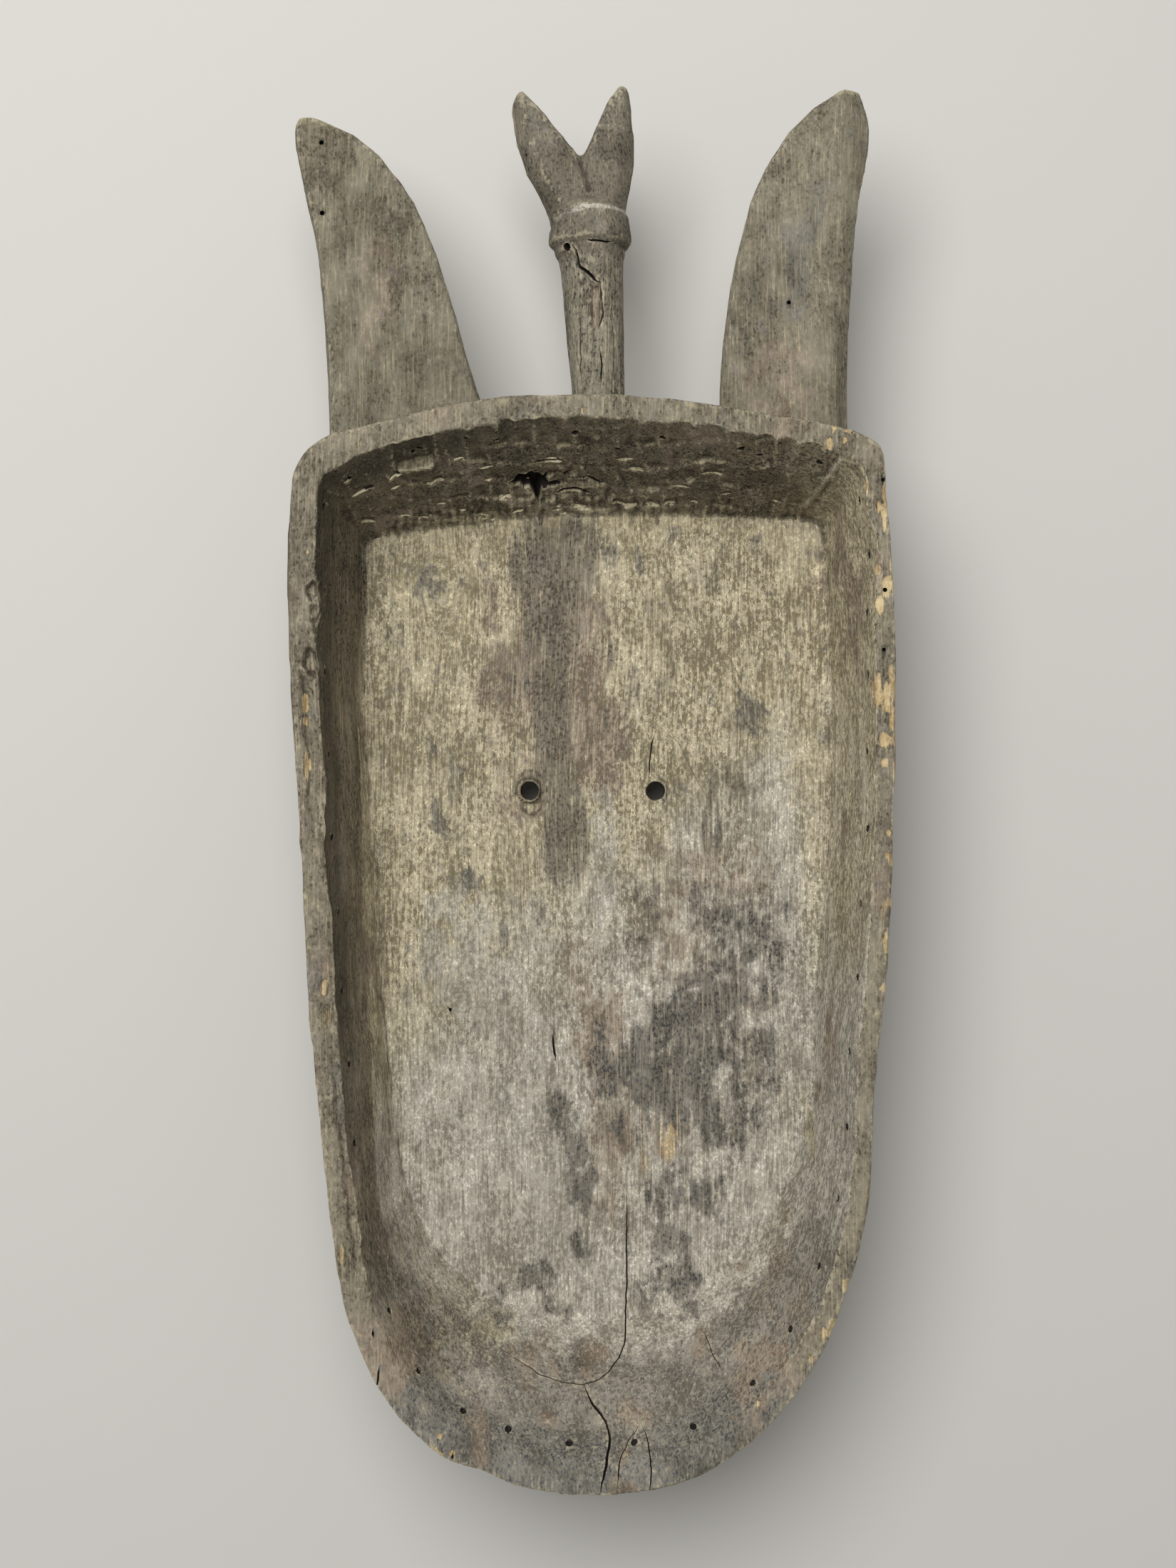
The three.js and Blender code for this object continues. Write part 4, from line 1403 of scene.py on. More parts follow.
class Colouring:
    """Works out, at every point of the finished surface, where each coat of colour lies."""

    squareness: float = 2.8
    knots: tuple[tuple[float, float, float], ...] = (
        (-82.0, 109.0, 9.0), (-27.5, 157.5, 8.0), (-70.0, -118.0, 6.0), (73.0, 25.0, 4.0))

    def __init__(self, piece: bpy.types.Object, rim: Rim, uncut: BVHTree) -> None:
        """Measures the finished piece.

        Args:
            piece: The finished piece.
            rim: The rim's outer edge.
            uncut: The skin as it was before the holes and cracks were cut.
        """
        self.mesh = piece.data
        self.skin = Skin(self.mesh, rim)
        self.uncut = uncut
        self.ends = np.empty(len(self.mesh.edges) * 2, np.int32)
        self.mesh.edges.foreach_get("vertices", self.ends)
        self.ends = self.ends.reshape(-1, 2)
        self.neighbours = np.maximum(np.bincount(self.ends.ravel(), minlength=len(self.skin.points)), 1)

    def average(self, values: np.ndarray, turns: int) -> np.ndarray:
        """Blurs a value over the neighbouring points, once for each turn.

        Args:
            values: One value for each point.
            turns: How often it is blurred.

        Returns:
            The blurred values.
        """
        first, second = self.ends.T
        count = len(values)
        for _ in range(turns):
            around = np.bincount(first, values[second], count) + np.bincount(second, values[first], count)
            values = 0.5 * values + 0.5 * around / self.neighbours
        return values

    def bend(self) -> np.ndarray:
        """How much the surface bends at each point, per millimetre: above 0 in a dip, below 0 on an edge."""
        first, second = self.ends.T
        along = self.skin.points[second] - self.skin.points[first]
        squared = np.maximum((along**2).sum(1), 0.04)
        near = 2.0 * (self.skin.normals[first] * along).sum(1) / squared
        far = -2.0 * (self.skin.normals[second] * along).sum(1) / squared
        count = len(self.skin.points)
        return (np.bincount(first, near, count) + np.bincount(second, far, count)) / self.neighbours

    def cut_depth(self) -> np.ndarray:
        """How far each point lies below the uncut skin, in millimetres."""
        nearest = [self.uncut.find_nearest(vertex.co)[3] for vertex in self.mesh.vertices]
        return np.array(nearest) / MM

    def stain(self, tone: Tone) -> np.ndarray:
        """The listed patches of one stain, with ragged edges, in the hollow.

        Args:
            tone: Which stain.

        Returns:
            Its strength at each point.
        """
        points = self.skin.points
        x = points[:, 0] + 5.0 * noise(points, (10.0, 17.0, 12.0), 101, 3)
        y = points[:, 1] + 7.0 * noise(points, (10.0, 14.0, 12.0), 102, 3)
        total = np.zeros(len(points))
        for patch in STAINS[tone]:
            across = np.abs((x - patch.x) / patch.half_width)
            down = np.abs((y - patch.y) / patch.half_length)
            away = (across**self.squareness + down**self.squareness) ** (1.0 / self.squareness)
            total = np.maximum(total, patch.strength * smoothstep(away, 1.35, 0.6))
        return total * np.clip(self.skin.hollow + self.skin.rim_top + self.skin.limb, 0.0, 1.0)

    def chance(self, size: tuple[float, float, float], seed: int, low: float, high: float) -> np.ndarray:
        """Patches that fall by chance, from 0 to 1."""
        return smoothstep(noise(self.skin.points, size, seed, 3), low, high)

    def map_parts(self) -> None:
        """Finds the parts of the carving that take coats of their own, for their aged wood or for painted
        light and shade, each from 0 to 1.
        """
        skin = self.skin
        x, y = skin.points.T[:2]
        self.stem = skin.limb * smoothstep(np.abs(x), 30.0, 24.0) * smoothstep(y, 276.0, 272.0)
        self.crest = skin.limb * smoothstep(np.abs(x + 8.0), 46.0, 38.0) * smoothstep(y, 272.0, 276.0)
        self.past_ridge = smoothstep(x - 116.5 - 0.77 * np.maximum(y - 147.8, -12.0), -3.0, 3.0)
        self.crown = skin.wall * smoothstep(y, 126.0, 140.0) * (1.0 - self.past_ridge)
        self.crown *= 1.0 - 0.6 * smoothstep(x, 70.0, 122.0)
        self.low = smoothstep(y, -190.0, -265.0)
        self.left = smoothstep(x, -20.0, -85.0)

    def bare_wood(self) -> dict[str, np.ndarray]:
        """The coats of the bare wood, one for each part of the carving, with painted light and shade on the
        walls.
        """
        skin = self.skin
        x, y, z = skin.points.T
        chin = self.low * (1.0 - 0.9 * self.left)
        # Painted light: the right walls, most of the chin and part of the right side take the floor's pale
        # coat, as if lit.
        wall_painted_lit = skin.wall * np.maximum.reduce([self.past_ridge, chin, 0.5 * smoothstep(x, 60.0, 112.0)])
        # Painted shade: the upper left wall takes the crown's dark coat.
        shaded_wall = 0.9 * skin.wall * smoothstep(x, -60.0, -100.0) * smoothstep(y, 20.0, 110.0)
        # Painted light: the foot of the lower left wall fades to the floor's pale coat towards the crease.
        foot = 58.0 + 0.115 * np.clip(60.0 - y, 0.0, 290.0)
        lit = smoothstep(z - foot, 6.0, -4.0) * smoothstep(y, 112.0, 84.0)
        wall_foot_painted_lit = np.clip(skin.wall - wall_painted_lit, 0.0, 1.0) * lit * (1.0 - 0.8 * smoothstep(y, -200.0, -250.0))
        pale = np.clip(skin.floor + wall_painted_lit + wall_foot_painted_lit, 0.0, 1.0)
        beside = smoothstep(x, 106.0, 122.0) * smoothstep(y, -140.0, -60.0)
        outer = np.clip(1.0 - skin.hollow - skin.rim_top, 0.0, 1.0)
        by_edge = smoothstep(skin.inset, 34.0, 20.0) * (skin.rim_top + skin.wall)
        return {
            "floor": pale,
            "greyed": pale * smoothstep(x - 1.2 * y, -20.0, 190.0) * (1.0 - 0.7 * beside),
            # The left and upper walls keep darker coats than the floor: partly the wood's own dark patina,
            # partly painted shade.
            "wall": np.clip(skin.wall - wall_painted_lit - wall_foot_painted_lit, 0.0, 1.0),
            "crown": np.maximum(self.crown, shaded_wall),
            # Painted shade: the chin's left side gets less of the chin coat and stays darker.
            "chin": skin.hollow * self.low * smoothstep(z, 60.0, 94.0) * (1.0 - 0.5 * self.left),
            "rim": skin.rim_top,
            "chin_rim": smoothstep(y, -285.0, -325.0) * by_edge,
            "horn": skin.limb,
            "stem": self.stem,
            "crest": self.crest,
            "front": outer * (1.0 - skin.limb),
        }

    def wear(self) -> dict[str, np.ndarray]:
        """The coats of wear and of painted light and shade: weathered pits, a painted highlight on
        upward-facing ledges, darker dips with painted shade under the rim, high on the left wall and on the
        ledges' risers, rubbed edges, dark insides of cuts that are dirt and painted shade, and broken wood.
        """
        skin = self.skin
        x, y, z = skin.points.T
        bend = self.average(self.bend(), 1)
        cut = smoothstep(self.cut_depth(), 0.25, 0.9)
        near_cut = np.clip(4.0 * self.average(cut, 3), 0.0, 1.0)
        from_ledge = np.minimum.reduce([ledge.distance(skin.points, 0.8) for ledge in LEDGES])
        by_ledge = smoothstep(from_ledge, 3.0, 2.0)
        facing_up = smoothstep(skin.normals[:, 2], 0.6, 0.84)
        chin_slope = 0.9 * skin.hollow * self.low * (1.0 - near_cut)
        # Painted shade: darker under the rim edge of the upper wall's left and middle, and high on the left
        # wall near the rim.
        under_rim = 0.6 * self.crown * smoothstep(skin.inset, 23.0, 16.0) * smoothstep(x, 60.0, -50.0)
        high_left = 0.75 * skin.wall * self.left * smoothstep(z, 82.0, 114.0) * smoothstep(y, -270.0, -60.0)
        dips = smoothstep(bend, 0.015, 0.16) * (1.0 - chin_slope)
        return {
            "weathered": self.average(HollowFloor.weathering(skin) * skin.floor, 2),
            # Painted highlight: the upward-facing faces of the upper wall are lighter.
            "ledge": self.crown * facing_up * smoothstep(skin.inset, 15.0, 19.0),
            # Darker in the dips, with painted shade under the rim and high on the left wall, and painted
            # shadow on the ledges' risers.
            "dips_and_painted_shade": np.maximum.reduce([dips, 0.9 * cut * by_ledge, under_rim, high_left]),
            "edges": smoothstep(-bend, 0.04, 0.22) * (1.0 - near_cut) * (1.0 - 0.6 * skin.rim_top),
            # Near-black inside the holes and cracks: dark dirt and painted shade.
            "cut": cut * (1.0 - by_ledge),
            "broken": np.maximum(0.8 * RimBand().freshness(skin), RimBand.scar(skin)[1]),
        }

    def stains(self) -> dict[str, np.ndarray]:
        """The coats of each stain: the listed patches, and others that fall by chance on one part."""
        skin = self.skin
        x, y = skin.points.T[:2]
        up, rim, wall, limb = skin.normals[:, 2], skin.rim_top, skin.wall, skin.limb
        coats = {tone.value: self.stain(tone) for tone in Tone}
        crease = bell(UpperWall.below_crease(skin) - 1.0, 9.0) * smoothstep(np.abs(x + 4.0), 116.0, 106.0)
        tips = smoothstep(y - 0.06 * x, 343.0, 356.0) * (np.abs(x) > 60.0)
        groove = bell(Crest.above_collar(skin), 2.2) * (up > 0.2)
        ridge = bell(distance_to_line(skin.points, *UpperWall().ridge_ends), 2.0)
        on_rim = np.clip(rim + 0.6 * limb, 0.0, 1.0)
        for tone, amount in (
            (Tone.SLATE, 0.6 * on_rim * self.chance((16.0, 26.0, 20.0), 111, 0.15, 0.5)),
            (Tone.UMBER, 0.7 * (rim + wall) * self.chance((20.0, 34.0, 20.0), 112, 0.12, 0.5)),
            (Tone.UMBER, 1.2 * Crest().panel(skin) * self.stem),
            (Tone.TAN, 0.4 * (rim + 0.3 * limb) * self.chance((7.0, 10.0, 8.0), 113, 0.25, 0.5)),
            (Tone.TAN, 0.9 * skin.hollow * crease),
            (Tone.TAN, 0.9 * limb * tips),
            (Tone.BROWN, 0.35 * (rim + self.crown) * self.chance((12.0, 15.0, 12.0), 114, 0.22, 0.5)),
            (Tone.BLEACHED, 0.9 * self.crest * groove),
            (Tone.BLEACHED, 0.8 * wall * ridge),
        ):
            coats[tone.value] += amount
        return coats

    def textures(self) -> dict[str, np.ndarray]:
        """How strongly the crust and the fibres show in the wood at every point."""
        skin = self.skin
        stained = np.maximum(self.stain(Tone.BROWN), self.stain(Tone.VIOLET))
        roughened = self.chance((20.0, 32.0, 20.0), 115, -0.4, 0.35)
        on_body = skin.floor * (0.6 + 0.7 * roughened) + 0.8 * skin.wall - 0.4 * self.crown
        on_body += 0.5 * skin.rim_top
        on_limbs = skin.limb * (0.2 + 0.3 * roughened) - 0.15 * self.crest + 0.3 * self.stem
        right_wall = 0.9 * skin.wall * smoothstep(skin.points[:, 0], 60.0, 100.0)
        return {
            "crust": (on_body + on_limbs + right_wall) * (1.0 - 0.4 * stained),
            "fibrous": 1.0 - 0.5 * skin.rim_top - 0.5 * (skin.limb - self.stem) - 0.35 * self.crest,
        }

    def sills(self) -> np.ndarray:
        """For each face, whether it is the flat sill of a ledge, 1, or not, 0: the mask of the sills' painted
        highlight.
        """
        count = len(self.mesh.polygons)
        middles, normals = np.empty(count * 3), np.empty(count * 3)
        self.mesh.polygons.foreach_get("center", middles)
        self.mesh.polygons.foreach_get("normal", normals)
        middles, upward = middles.reshape(-1, 3) / MM, normals.reshape(-1, 3)[:, 2]
        near = np.logical_or.reduce([ledge.distance(middles, 1.0) < ledge.depth + 0.6 for ledge in LEDGES])
        return near & (upward > 0.8)

    def grain(self) -> np.ndarray:
        """Places along the fibres, in millimetres: they wander a little and run round the knots."""
        x, y = self.skin.points.T[:2]
        turned = self.skin.points.copy()
        turned[:, 0] += 2.4 * noise(self.skin.points, (45.0, 95.0, 45.0), 121)
        for knot_x, knot_y, radius in self.knots:
            away = np.maximum(np.hypot(x - knot_x, 0.7 * (y - knot_y)), radius)
            turned[:, 0] -= (x - knot_x) * (radius / away) ** 2 * 0.5
        return turned

    def paint(self) -> None:
        """Writes the coats, the textures, the sills and the places along the fibres onto the mesh."""
        self.map_parts()
        for name, values in (self.bare_wood() | self.wear() | self.stains() | self.textures()).items():
            layer = self.mesh.attributes.new(name, "FLOAT", "POINT")
            layer.data.foreach_set("value", np.clip(values, 0.0, 1.4).astype(np.float32))
        # The sills' mask, for their painted highlight.
        layer = self.mesh.attributes.new("sill", "FLOAT", "FACE")
        layer.data.foreach_set("value", self.sills().astype(np.float32))
        layer = self.mesh.attributes.new("fibres", "FLOAT_VECTOR", "POINT")
        layer.data.foreach_set("vector", self.grain().astype(np.float32).ravel())


def add_node(tree: bpy.types.NodeTree, kind: str, settings: dict[str, object] | None = None,
             inputs: dict[str | int, object] | None = None) -> bpy.types.Node:
    """Adds one node with its settings, values and links.

    Args:
        tree: The node tree that gets it.
        kind: The node's type name.
        settings: The node's own settings by name.
        inputs: A plain value, or the output that is linked in, for each input socket.

    Returns:
        The new node.
    """
    node = tree.nodes.new(kind)
    for name, value in (settings or {}).items():
        setattr(node, name, value)
    for name, value in (inputs or {}).items():
        if isinstance(value, bpy.types.NodeSocket):
            tree.links.new(value, node.inputs[name])
        else:
            node.inputs[name].default_value = value
    return node


class Figure(Enum):
    """The patterns in the wood, each drawn out along the fibres by its own amount."""

    FIBRE = "fibre"
    STREAK = "streak"
    FLECK = "fleck"
    PATCH = "patch"
    SPECK = "speck"
    MOTTLE = "mottle"
    CURL = "curl"
    RAG = "rag"


@dataclass(frozen=True)
class Pattern:
    """One pattern: the width and length of a single mark in millimetres, and how it is broken up."""

    width: float
    length: float
    detail: float
    roughness: float
    low: float = 0.3
    high: float = 0.7
    folded: bool = False


# Real fibres are 0.1 to 0.3 mm wide and dust specks smaller still: both are drawn several times as
# coarse, the finest that the render can show. The other sizes are those of the marks on such old wood.
PATTERNS = {
    Figure.FIBRE: Pattern(0.9, 22.0, 3.0, 0.6, 0.36, 0.64),
    Figure.STREAK: Pattern(3.4, 55.0, 4.0, 0.6, 0.34, 0.66),
    Figure.FLECK: Pattern(1.9, 3.4, 4.0, 0.62, 0.36, 0.64),
    Figure.PATCH: Pattern(30.0, 46.0, 3.0, 0.55, 0.32, 0.68),
    Figure.SPECK: Pattern(1.3, 1.9, 1.0, 0.5, 0.32, 0.46),
    Figure.MOTTLE: Pattern(12.0, 18.0, 3.0, 0.55),
    Figure.CURL: Pattern(1.8, 5.0, 2.0, 0.5, 0.465, 0.5, folded=True),
    Figure.RAG: Pattern(9.0, 14.0, 7.0, 0.72, 0.36, 0.64),
}


@dataclass(frozen=True)
class Coat:
    """A colouring that lies over the wood: its mask on the mesh and its darker and lighter sRGB colours."""

    mask: str
    dark: str
    light: str
    strength: float = 1.0
    figure: Figure = Figure.FLECK
    ragged: float = 0.5
    blur: float = 0.25
    reach: float = 1.0


@dataclass(frozen=True)
class CarvedHardwood:
    """Dense West African hardwood cut with an adze and left unvarnished.

    To the eye it is matt, with silvered high places, dark dips, blotched stains and fibres that stand proud.
    """

    dark: str = "#332c20"
    light: str = "#665b47"
    darkest: float = 0.03
    lightest: float = 0.475
    roughness: float = 0.86
    duller: float = 0.06
    smoother: float = 0.1
    fibre_depth: float = 0.32 * MM
    fibre_relief: float = 0.8

    def coats(self) -> tuple[Coat, ...]:
        """The coats in the order that they lie: bare wood by region with painted light and shade on the
        walls, then stains, wear, painted highlights, dirt and painted shade, and dark cuts that are partly
        painted shade.
        """
        return (
            Coat("front", "#453c2f", "#756953", ragged=0.2),
            # Darker than the floor, partly as painted shade on the left and upper walls.
            Coat("wall", "#433c2c", "#8d8166", ragged=0.3),
            # Also laid on the walls that are painted as lit.
            Coat("floor", "#7f7458", "#f3e6c1", ragged=0.3),
            Coat("greyed", "#8e897f", "#ebe6da", 0.85, Figure.PATCH, 0.5, 0.5),
            # Dark partly as the wood's own patina and partly as painted shade.
            Coat("crown", "#282216", "#70664c", ragged=0.3),
            Coat("chin", "#54504a", "#979289", 0.9, Figure.RAG, 0.7),
            Coat("rim", "#464033", "#999079", ragged=0.3),
            Coat("horn", "#484334", "#8f8973", ragged=0.2),
            Coat("stem", "#3b382d", "#97917e", ragged=0.2),
            Coat("crest", "#2c2820", "#676153", ragged=0.2),
            Coat("chin_rim", "#454543", "#888782", figure=Figure.RAG),
            Coat(Tone.TAN.value, "#988c6b", "#e4d7b0", 0.7, Figure.RAG, 0.9),
            Coat(Tone.UMBER.value, "#6b5a4a", "#b09d89", 0.92, Figure.RAG, 0.8, 0.3),
            Coat(Tone.BLEACHED.value, "#a39e90", "#e6e1d4", 0.8, Figure.RAG, 0.9, 0.3),
            Coat(Tone.SLATE.value, "#474743", "#767570", 0.75, Figure.RAG, 0.9, 0.2),
            Coat(Tone.BROWN.value, "#423b31", "#696053", 0.95, Figure.STREAK, 0.9, 0.38),
            Coat(Tone.VIOLET.value, "#353534", "#6f6c68", 0.95, Figure.RAG, 0.95, 0.3),
            Coat(Tone.RAW.value, "#a3835a", "#ecd6a6", 0.95, Figure.FIBRE, 0.9, 0.2),
            Coat("weathered", "#665f50", "#857d6c", 0.6, Figure.SPECK, 1.3, 0.2, 0.4),
            # Painted highlight on the upward-facing faces of the upper wall.
            Coat("ledge", "#857b5d", "#c3b894", 0.4, ragged=0.4),
            # Darker in the dips, with painted shade under the rim, high on the left wall and on the ledges'
            # risers.
            Coat("dips_and_painted_shade", "#2a2419", "#3a3326", 0.65, ragged=0.5),
            # Painted highlight on the flat sills of the ledges.
            Coat("sill", "#8e8466", "#d9cfae", 0.95, ragged=0.2),
            Coat("edges", "#a0967c", "#c9bea0", 0.45, ragged=0.9),
            Coat("broken", "#a68c60", "#d8c49a", 0.95, Figure.FIBRE, 0.4),
            # Near-black inside the holes and cracks: dark dirt and painted shade.
            Coat("cut", "#17130e", "#241e17", 1.0, ragged=0.0, reach=2.2),
        )


class WoodShader:
    """Turns a wood finish into one material."""

    def __init__(self, finish: CarvedHardwood) -> None:
        """Starts an empty material for the finish.

        Args:
            finish: The finish of the wood.
        """
        self.finish = finish
        self.material = bpy.data.materials.new("weathered_carved_hardwood")
        self.material.use_nodes = True
        self.tree = self.material.node_tree
        self.shader = self.tree.nodes["Principled BSDF"]
        fibres = add_node(self.tree, "ShaderNodeAttribute", {"attribute_name": "fibres"})
        place = fibres.outputs["Vector"]
        self.figures = {figure: self.draw(place, pattern) for figure, pattern in PATTERNS.items()}

    def draw(self, place: bpy.types.NodeSocket, pattern: Pattern) -> bpy.types.NodeSocket:
        """Draws one pattern, spread so that it runs from 0 to 1.

        Args:
            place: The place along the fibres, in millimetres.
            pattern: The pattern's sizes.

        Returns:
            The pattern's value.
        """
        scale = (1.0 / pattern.width, 1.0 / pattern.length, 1.0 / pattern.width)
        spread = add_node(self.tree, "ShaderNodeMapping", inputs={"Vector": place, "Scale": scale})
        swell = add_node(self.tree, "ShaderNodeTexNoise", inputs={
            "Vector": spread.outputs[0], "Scale": 1.0, "Detail": pattern.detail,
            "Roughness": pattern.roughness})
        if pattern.folded:
            swell = add_node(self.tree, "ShaderNodeMath", {"operation": "PINGPONG"}, {
                0: swell.outputs[0], 1: 0.5})
        stretched = add_node(self.tree, "ShaderNodeMapRange", inputs={
            "Value": swell.outputs[0], "From Min": pattern.low, "From Max": pattern.high})
        return stretched.outputs[0]

    def mixed_figures(self, shares: dict[Figure, float]) -> bpy.types.NodeSocket:
        """Adds patterns up by their shares.

        Args:
            shares: How much of each pattern is taken.

        Returns:
            The sum of the patterns.
        """
        total = None
        for figure, share in shares.items():
            node = add_node(self.tree, "ShaderNodeMath", {"operation": "MULTIPLY_ADD"}, {
                0: self.figures[figure], 1: share, 2: 0.0 if total is None else total})
            total = node.outputs[0]
        return total

    def cover(self, coat: Coat) -> bpy.types.NodeSocket:
        """How far a coat covers the wood at each place: its mask with an edge broken up by its pattern.

        Args:
            coat: The coat.

        Returns:
            Its share at each place, from 0 to its strength.
        """
        mask = add_node(self.tree, "ShaderNodeAttribute", {"attribute_name": coat.mask})
        held = add_node(self.tree, "ShaderNodeMath", {"operation": "MULTIPLY_ADD"}, {
            0: mask.outputs["Fac"], 1: coat.reach, 2: -0.5 * coat.ragged})
        broken = add_node(self.tree, "ShaderNodeMath", {"operation": "MULTIPLY_ADD"}, {
            0: self.figures[coat.figure], 1: coat.ragged, 2: held.outputs[0]})
        edge = add_node(self.tree, "ShaderNodeMapRange", {"interpolation_type": "SMOOTHSTEP"}, {
            "Value": broken.outputs[0], "From Min": 0.5 - coat.blur, "From Max": 0.5 + coat.blur,
            "To Max": coat.strength})
        return edge.outputs[0]

    def lay(self, cover: bpy.types.NodeSocket, under: object, colour: str) -> bpy.types.NodeSocket:
        """Lays a colour over what is under it.

        Args:
            cover: How far it covers, from 0 to 1.
            under: The colour or output beneath.
            colour: Its sRGB hex colour.

        Returns:
            The mixed colour.
        """
        mix = add_node(self.tree, "ShaderNodeMix", {"data_type": "RGBA"}, {
            0: cover, 6: under, 7: linear(colour)})
        return mix.outputs[2]

    def as_called_for(self, pattern: bpy.types.NodeSocket, mask: str) -> bpy.types.NodeSocket:
        """A pattern that shows only as far as the mesh calls for it.

        Args:
            pattern: The pattern.
            mask: The mesh attribute that calls for it.

        Returns:
            The pattern times the mask.
        """
        called = add_node(self.tree, "ShaderNodeAttribute", {"attribute_name": mask})
        shown = add_node(self.tree, "ShaderNodeMath", {"operation": "MULTIPLY"}, {
            0: pattern, 1: called.outputs["Fac"]})
        return shown.outputs[0]

    def tone(self) -> bpy.types.Node:
        """Mixes how light the wood is: soft clouds, with fibres and crust as far as the mesh calls for them.

        Returns:
            The node whose result is the tone, from 0 to 1.
        """
        clouds = self.mixed_figures({Figure.MOTTLE: 0.3, Figure.PATCH: 0.24})
        fibres = self.mixed_figures({Figure.FIBRE: 0.3, Figure.STREAK: 0.2})
        grains = self.mixed_figures({Figure.FLECK: 0.4, Figure.SPECK: 0.3, Figure.CURL: 0.3})
        for pattern, middle, mask in ((fibres, 0.25, "fibrous"), (grains, 0.515, "crust")):
            centred = add_node(self.tree, "ShaderNodeMath", {"operation": "SUBTRACT"}, {
                0: pattern, 1: middle})
            total = add_node(self.tree, "ShaderNodeMath", {"operation": "ADD"}, {
                0: self.as_called_for(centred.outputs[0], mask), 1: clouds})
            clouds = total.outputs[0]
        return add_node(self.tree, "ShaderNodeMapRange", inputs={
            "Value": clouds, "From Min": self.finish.darkest, "From Max": self.finish.lightest})

    def build(self) -> bpy.types.Material:
        """Builds the colour, the roughness and the fine relief, and gives the finished material."""
        dark, light = linear(self.finish.dark), linear(self.finish.light)
        for coat in self.finish.coats():
            cover = self.cover(coat)
            dark, light = self.lay(cover, dark, coat.dark), self.lay(cover, light, coat.light)
        tone = self.tone()
        colour = add_node(self.tree, "ShaderNodeMix", {"data_type": "RGBA"}, {
            0: tone.outputs[0], 6: dark, 7: light})
        relief = self.mixed_figures({
            Figure.FIBRE: 0.4, Figure.FLECK: 0.5, Figure.CURL: 0.4, Figure.SPECK: 0.2})
        bump = add_node(self.tree, "ShaderNodeBump", inputs={
            "Strength": self.finish.fibre_relief, "Distance": self.finish.fibre_depth,
            "Height": self.as_called_for(relief, "fibrous")})
        matt = add_node(self.tree, "ShaderNodeMapRange", inputs={
            "Value": tone.outputs[0], "To Min": self.finish.roughness + self.finish.duller,
            "To Max": self.finish.roughness - self.finish.smoother})
        self.tree.links.new(colour.outputs[2], self.shader.inputs["Base Color"])
        self.tree.links.new(matt.outputs[0], self.shader.inputs["Roughness"])
        self.tree.links.new(bump.outputs[0], self.shader.inputs["Normal"])
        return self.material


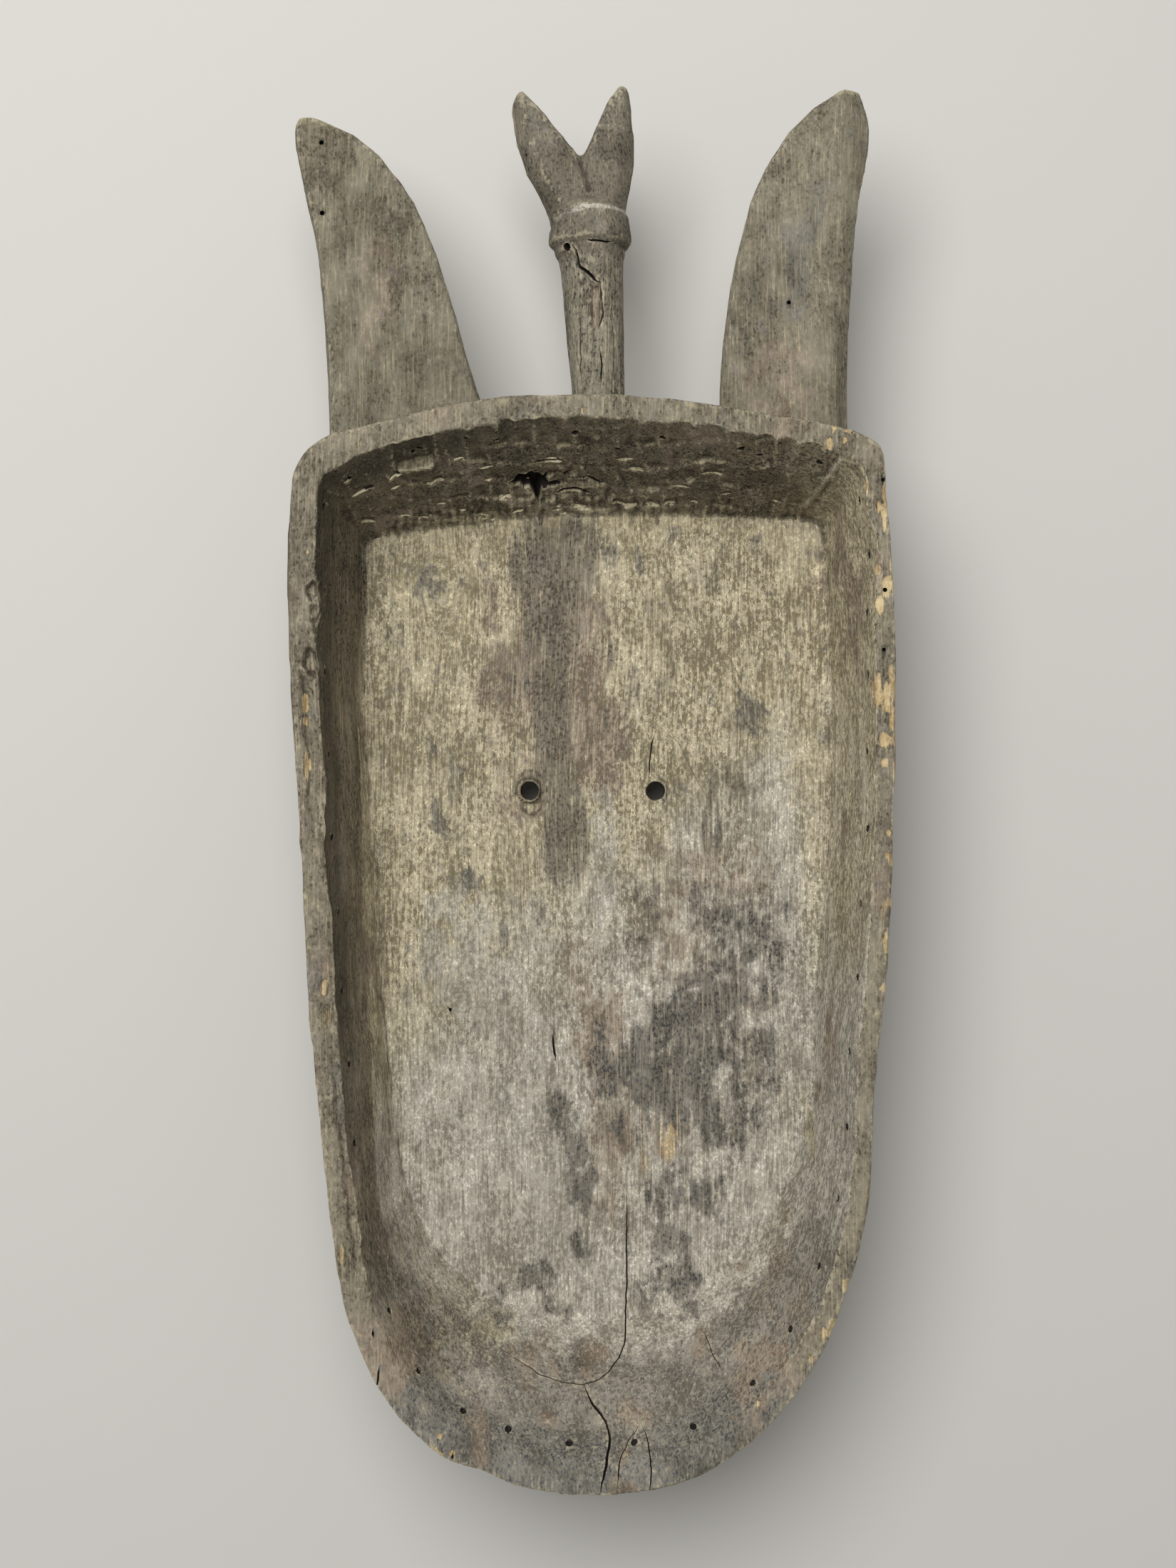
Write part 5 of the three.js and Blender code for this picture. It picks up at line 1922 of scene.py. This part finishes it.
@dataclass
class Studio:
    """A plain pale floor, one broad soft light from the upper left and a camera that looks straight down."""

    camera_place: tuple[float, float, float] = (-0.0014, -0.0027, 1.228)
    lens: float = 49.5
    sensor: float = 36.0
    floor_colour: str = "#cfcdc8"
    floor_roughness: float = 0.9
    floor_half: float = 3.0
    key_place: tuple[float, float, float] = (-0.4, 0.72, 1.96)
    key_size: float = 1.5
    key_power: float = 39.0
    fill_strength: float = 0.34
    fill_colour: str = "#f7f5f1"

    def build(self) -> None:
        """Makes the floor, the lights and the camera."""
        scene = bpy.context.scene
        scene.view_settings.view_transform = "Standard"
        camera = put_in_scene("camera", bpy.data.cameras.new("camera"))
        camera.location = self.camera_place
        camera.data.lens = self.lens
        camera.data.sensor_width = self.sensor
        camera.data.sensor_fit = "AUTO"
        scene.camera = camera
        self.build_floor()
        self.build_lights(scene)

    def build_floor(self) -> None:
        """Lays a wide matt floor at the height that the mask lies on."""
        form = bmesh.new()
        bmesh.ops.create_grid(form, x_segments=1, y_segments=1, size=self.floor_half)
        mesh = bpy.data.meshes.new("floor")
        form.to_mesh(mesh)
        form.free()
        floor = put_in_scene("floor", mesh)
        paint = bpy.data.materials.new("matt_floor_paint")
        paint.use_nodes = True
        shader = paint.node_tree.nodes["Principled BSDF"]
        shader.inputs["Base Color"].default_value = linear(self.floor_colour)
        shader.inputs["Roughness"].default_value = self.floor_roughness
        mesh.materials.append(paint)

    def build_lights(self, scene: bpy.types.Scene) -> None:
        """Hangs the key light and sets the even light from all round.

        Args:
            scene: The scene that gets the even light.
        """
        lamp = bpy.data.lights.new("key", "AREA")
        lamp.shape = "DISK"
        lamp.size = self.key_size
        lamp.energy = self.key_power
        key = put_in_scene("key", lamp)
        key.location = self.key_place
        key.rotation_euler = (-Vector(self.key_place)).to_track_quat("-Z", "Y").to_euler()
        world = bpy.data.worlds.new("even_light")
        world.use_nodes = True
        glow = world.node_tree.nodes["Background"]
        glow.inputs["Strength"].default_value = self.fill_strength
        glow.inputs["Color"].default_value = linear(self.fill_colour)
        scene.world = world


def main() -> None:
    """Builds the mask, dresses it and sets up the studio."""
    logging.basicConfig(level=logging.INFO, format="%(relativeCreated)d %(message)s")
    rim = Rim()
    log.info("rim %.1f mm round, %d samples", rim.length, rim.count)
    piece = Blank().build(rim)
    log.info("blank: %d vertices", len(piece.data.vertices))
    skin = Skin(piece.data, rim)
    log.info("skin measured")
    for part in (FrontAndSides(), HollowFloor(), SideWalls(), UpperWall(), Horns(), Crest(), SightHoles(),
                 RimBand()):
        part.carve(skin)
        skin.write()
        log.info("carved %s", type(part).__name__)
    share = TRIANGLES / (len(piece.data.polygons) * 2)
    apply_modifier(piece, "DECIMATE", decimate_type="COLLAPSE", ratio=share, use_collapse_triangulate=True)
    log.info("thinned to %d triangles", len(piece.data.polygons))
    piercings = Piercings(piece, rim)
    piercings.cut_all()
    log.info("final: %d triangles", sum(len(face.vertices) - 2 for face in piece.data.polygons))
    piece.data.shade_smooth()
    piece.data.set_sharp_from_angle(angle=math.radians(SHARP_ANGLE))
    Colouring(piece, rim, piercings.tree).paint()
    log.info("coloured")
    piece.data.materials.clear()
    piece.data.materials.append(WoodShader(CarvedHardwood()).build())
    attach(piece, "root")
    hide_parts(NODE)
    Studio().build()


if __name__ == "__main__":
    main()
